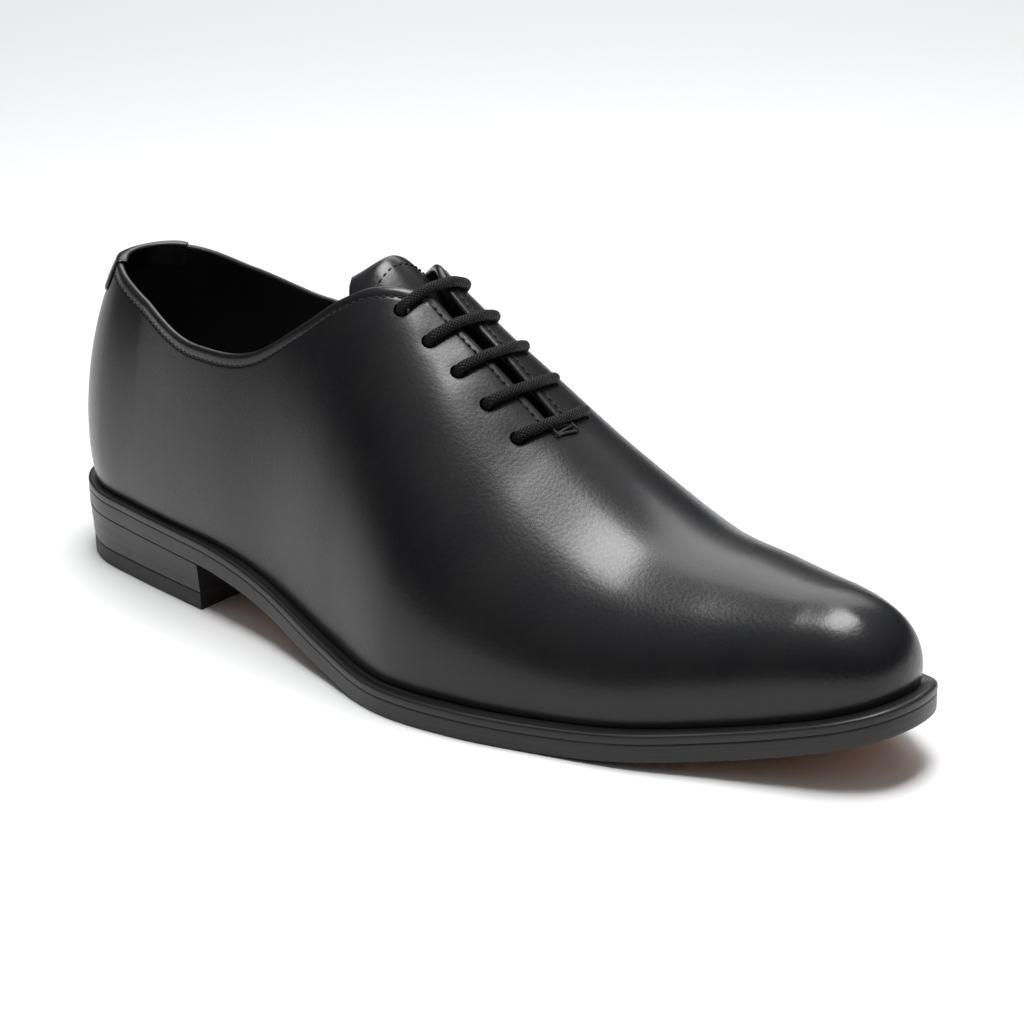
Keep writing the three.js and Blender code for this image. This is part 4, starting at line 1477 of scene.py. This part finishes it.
@dataclass
class HeelTab:
    """Small tab folded over the back of the collar."""

    last: Last
    finishes: Finishes
    width: float = 27.0
    outside: float = 10.0
    inside: float = 7.0
    thickness: float = 0.72
    base: float = 0.26
    columns: int = 48

    def build(self) -> None:
        """Makes the tab."""
        last = self.last
        stations = np.linspace(0, 3.5, 400)

        def rim_at(station: Array, depth: Array) -> Array:
            point = last.wall_point(station, np.full(np.shape(station), last.collar_line(0.0, 0.0)), depth)
            return last.collar_line(point[..., 0], point[..., 1])

        rim = last.wall_point(stations, rim_at(stations, np.zeros(400)), 0.0)
        mate = last.wall_point(-stations, rim_at(-stations, np.zeros(400)), 0.0)
        end = float(np.interp(self.width, np.linalg.norm(rim - mate, axis=1), stations))
        share = np.linspace(-1, 1, self.columns + 1)
        station = -end * share
        wall = last.upper_wall
        fold = np.linspace(0, math.pi, 13)
        made = Shell()
        layers = []
        for lift in (self.base, self.thickness):
            edge = 1 - np.abs(share) ** 12
            thick = self.base + (lift - self.base) * np.sqrt(np.clip(edge, 0, 1))
            rows = []
            corner = self.outside - 2.2 * (1 - np.sqrt(np.clip(1 - np.clip((np.abs(share) - 0.82) / 0.18, 0, 1) ** 2, 0, 1)))
            for part in np.linspace(1, 0, 12):
                taper = 1.0 if part < 0.9 else max(0.0, (1 - part) / 0.1) ** 0.5
                out = self.base + (thick - self.base) * taper
                rows.append((-out - 0.06, -corner * part))
            for angle in fold:
                reach = wall / 2 + 0.06 + thick
                rows.append((wall / 2 - np.cos(angle) * reach, -0.6 + np.sin(angle) * (0.62 + thick)))
            for part in np.linspace(0, 1, 8):
                taper = 1.0 if part < 0.85 else max(0.0, (1 - part) / 0.15) ** 0.5
                out = self.base + (thick - self.base) * taper
                rows.append((wall + out, -self.inside * part - 0.6))
            grid = []
            for depth, rise in rows:
                depth = np.broadcast_to(depth, station.shape)
                height = rim_at(station, depth) + np.broadcast_to(rise, station.shape)
                grid.append(last.wall_point(station, height, depth))
            layers.append(made.add(np.stack(grid, 1)))
        inner, outer = layers
        made.grid(outer[:, ::-1])
        made.grid(inner)
        made.grid(np.stack([outer[:, 0], inner[:, 0]], 1)[:, ::-1])
        made.grid(np.stack([inner[:, -1], outer[:, -1]], 1)[:, ::-1])
        made.grid(np.stack([inner[0], outer[0]], 0)[:, ::-1])
        made.grid(np.stack([outer[-1], inner[-1]], 0)[:, ::-1])
        Piece("heel_tab_calf", made, last, Slot.CALF, [self.finishes.calf], ["heel_tab"]).build()


@dataclass
class Lacing:
    """One waxed lace through all the holes, with straight bars outside, and the tack under them."""

    last: Last
    throat: Throat
    finishes: Finishes
    sides: int = 14
    bow: float = 2.0
    spare: float = 3.7
    tack_reach: float = 4.2
    tack_hump: float = 0.35

    def over(self, x: float, sign: int) -> list[tuple[float, float, float]]:
        """Places of one bar, from the hole on one side to the hole on the other.

        Args:
            x: Place of the pair of holes.
            sign: -1 to start on the outer side, 1 on the inner side.

        Returns:
            Place, offset and depth of each point.
        """
        r = self.throat.lace_diameter / 2
        edge = self.throat.hole_offset
        rest = -(r - 0.1)
        half = [(edge, 1.9), (edge + 0.05, 0.5), (edge - 0.45, -0.75 * r), (edge - 1.9, rest - 0.05),
                (edge - 5.0, rest), (4.4, rest - 0.1)]
        offsets = [(-o, d) for o, d in half] + [(0.0, rest + 0.35)] + [(o, d) for o, d in reversed(half)]
        if sign > 0:
            offsets.reverse()
        return [(x + self.bow * (1 - (o / edge) ** 2), o, d) for o, d in offsets]

    def under(self, start: tuple[float, int], end: tuple[float, int], lane: float
              ) -> list[tuple[float, float, float]]:
        """Places of a hidden stretch inside, from hole to hole on one side.

        Args:
            start: Place and side of the first hole.
            end: Place and side of the last one.
            lane: Shift of the stretch away from the slit.

        Returns:
            Place, offset and depth of each point.
        """
        depth = self.last.upper_wall + 0.25 + self.throat.lace_diameter / 2
        edge = self.throat.hole_offset
        side = start[1]
        way = 1 if end[0] > start[0] else -1
        first = (start[0] + way * 0.9, side * (edge + 0.35 * lane), depth)
        final = (end[0] - way * 0.9, side * (edge + 0.35 * lane), depth)
        middle = [(start[0] + way * 3.2, side * (edge + lane), depth + 0.1),
                  (end[0] - way * 3.2, side * (edge + lane), depth + 0.1)]
        return [first, *middle, final]

    def route(self) -> list[tuple[float, float, float]]:
        """The whole lace: both hidden ends stop at the top pair of holes."""
        xs = self.throat.hole_places()
        r = self.throat.lace_diameter / 2
        depth = self.last.upper_wall + 0.25 + r
        edge = self.throat.hole_offset
        gap = self.spare
        places: list[tuple[float, float, float]] = [(xs[0] - 6.0, -edge - 1.0, depth + 0.2),
                                                    (xs[0] - 3.0, -edge - 0.3, depth + 0.1)]
        places += self.over(xs[0], -1)
        places += self.under((xs[0], 1), (xs[2], 1), gap)
        places += self.over(xs[2], 1)
        places += self.under((xs[2], -1), (xs[4], -1), gap)
        places += self.over(xs[4], -1)
        places += self.under((xs[4], 1), (xs[3], 1), 0.0)
        places += self.over(xs[3], 1)
        places += self.under((xs[3], -1), (xs[1], -1), -gap)
        places += self.over(xs[1], -1)
        places += [(xs[1] - 2.6, edge - 2.6, depth), (xs[1] - 6.5, edge - gap, depth + 0.1)]
        return places

    def build(self) -> None:
        """Makes the lace and the bar tack."""
        route = np.array(self.route())
        points = self.last.instep(route[:, 0], route[:, 1], route[:, 2])
        path = resample(spline(points, 10), 0.55)
        made = Shell()
        tube(made, path, self.throat.lace_diameter / 2, self.sides)
        bars = [f"lace_bar_{i + 1}" for i in range(self.throat.pairs)]
        Piece("lace_cord", made, self.last, Slot.LACE, [self.finishes.lace], bars, 80.0).build()
        log.info("lace: %.0f mm", float(np.linalg.norm(np.diff(path, axis=0), axis=1).sum()))
        tack = Shell()
        end = self.throat.front + self.throat.slit_length
        reach = self.tack_reach
        across = np.linspace(-reach, reach, 13)
        hump = self.tack_hump * (1 - (across / reach) ** 6)
        for k, x in enumerate(np.linspace(end - 1.2, end + 2.4, 5)):
            slant = 0.09 * across * (-1) ** k
            tube(tack, self.last.instep(x + slant, across, -0.15 - hump - 0.12 * (k % 2)), 0.42, 8)
        for side in (-1, 1):
            run = np.linspace(end - 1.6, end + 2.8, 9)
            tube(tack, self.last.instep(run, np.full(9, side * (reach - 0.6)), -0.45 - self.tack_hump), 0.38, 8)
        Piece("slit_bar_tack", tack, self.last, Slot.CALF, [self.finishes.thread]).build()


@dataclass
class Studio:
    """Floor, lights and camera."""

    last: Last
    eye: tuple[float, float, float] = (576.85, -463.08, 255.76)
    aim: tuple[float, float, float] = (144.8, 26.5, 28.3)
    roll: float = -0.89
    lens: float = 84.0
    horizon: float = 0.06
    zenith: float = 0.40

    def camera(self) -> None:
        """Puts the camera where the photograph was taken from."""
        roll = math.radians(self.roll)
        back = unit(np.array(self.eye) - np.array(self.aim))
        right = unit(np.cross((0.0, 0.0, 1.0), back))
        up = np.cross(back, right)
        rolled = right * math.cos(roll) + up * math.sin(roll)
        top = -right * math.sin(roll) + up * math.cos(roll)
        place_at = self.last.metres(np.array(self.eye))
        data = bpy.data.cameras.new("camera")
        data.lens, data.sensor_width = self.lens, 36.0
        data.clip_start, data.clip_end = 0.01, 50.0
        made = bpy.data.objects.new("camera", data)
        made.matrix_world = Matrix([
            (rolled[0], top[0], back[0], place_at[0]), (rolled[1], top[1], back[1], place_at[1]),
            (rolled[2], top[2], back[2], place_at[2]), (0.0, 0.0, 0.0, 1.0)])
        bpy.context.scene.collection.objects.link(made)
        bpy.context.scene.camera = made

    def floor(self) -> None:
        """Makes the pale floor: one wide flat square."""
        made = Shell()
        size = 14000.0
        corners = np.array([[-size, -size, 0], [size, -size, 0], [size, size, 0], [-size, size, 0]], float)
        made.extend(made.add(corners)[None])
        surface = Surface("floor_paint")
        cloud = surface.noise(1.5, 2.0)
        surface.set(Base_Color=surface.colour(cloud, (0.80, 0.80, 0.80, 1.0), (0.82, 0.82, 0.82, 1.0)),
                    Roughness=0.55, Specular_IOR_Level=0.3)
        mesh = bpy.data.meshes.new("floor")
        mesh.from_pydata((np.concatenate(made.points) * MM).tolist(), [], made.faces)
        mesh.materials.append(surface.material)
        floor = bpy.data.objects.new("floor", mesh)
        bpy.context.scene.collection.objects.link(floor)

    def light(self, name: str, at: tuple[float, float, float], towards: tuple[float, float, float],
              size: tuple[float, float], power: float) -> None:
        """Adds one soft box.

        Args:
            name: Its name.
            at: Its place, in metres.
            towards: The point that it faces.
            size: Its width and height.
            power: Its power in watts.
        """
        data = bpy.data.lights.new(name, "AREA")
        data.shape, data.size, data.size_y, data.energy = "RECTANGLE", size[0], size[1], power
        made = bpy.data.objects.new(name, data)
        made.location = at
        made.rotation_mode = "QUATERNION"
        made.rotation_quaternion = (Vector(at) - Vector(towards)).to_track_quat("Z", "Y")
        bpy.context.scene.collection.objects.link(made)

    def build(self) -> None:
        """Makes the whole studio."""
        self.camera()
        self.floor()
        self.light("overhead_box", (0.12, 0.0, 1.25), (0.0, 0.0, 0.0), (0.76, 0.46), 19.0)
        self.light("background_box", (-2.0, 2.5, 2.6), (-2.0, 2.5, 0.0), (3.4, 3.4), 95.0)
        world = bpy.data.worlds.new("studio_air")
        world.use_nodes = True
        tree = world.node_tree
        shade = next(n for n in tree.nodes if n.type == "BACKGROUND")
        shade.inputs["Color"].default_value = (0.94, 0.97, 1.0, 1.0)
        way = add_node(tree, "ShaderNodeTexCoord", output="Generated")
        height = add_node(tree, "ShaderNodeSeparateXYZ", None, {"Vector": way}, "Z")
        strength = self.horizon + height.step(0.2, 0.8) * (self.zenith - self.horizon)
        tree.links.new(strength.socket, shade.inputs["Strength"])
        bpy.context.scene.world = world
        bpy.context.scene.view_settings.view_transform = "Standard"


def main() -> None:
    """Builds the shoe and its studio."""
    logging.basicConfig(level=logging.INFO, format="%(name)s: %(message)s")
    last = Last()
    throat = Throat()
    finishes = Finishes()
    Studio(last).build()
    Upper(last, throat, finishes).build()
    Tongue(last, throat, finishes).build()
    Sole(last, finishes).build()
    Heel(last, finishes).build()
    HeelTab(last, finishes).build()
    Lacing(last, throat, finishes).build()


if __name__ == "__main__":
    main()
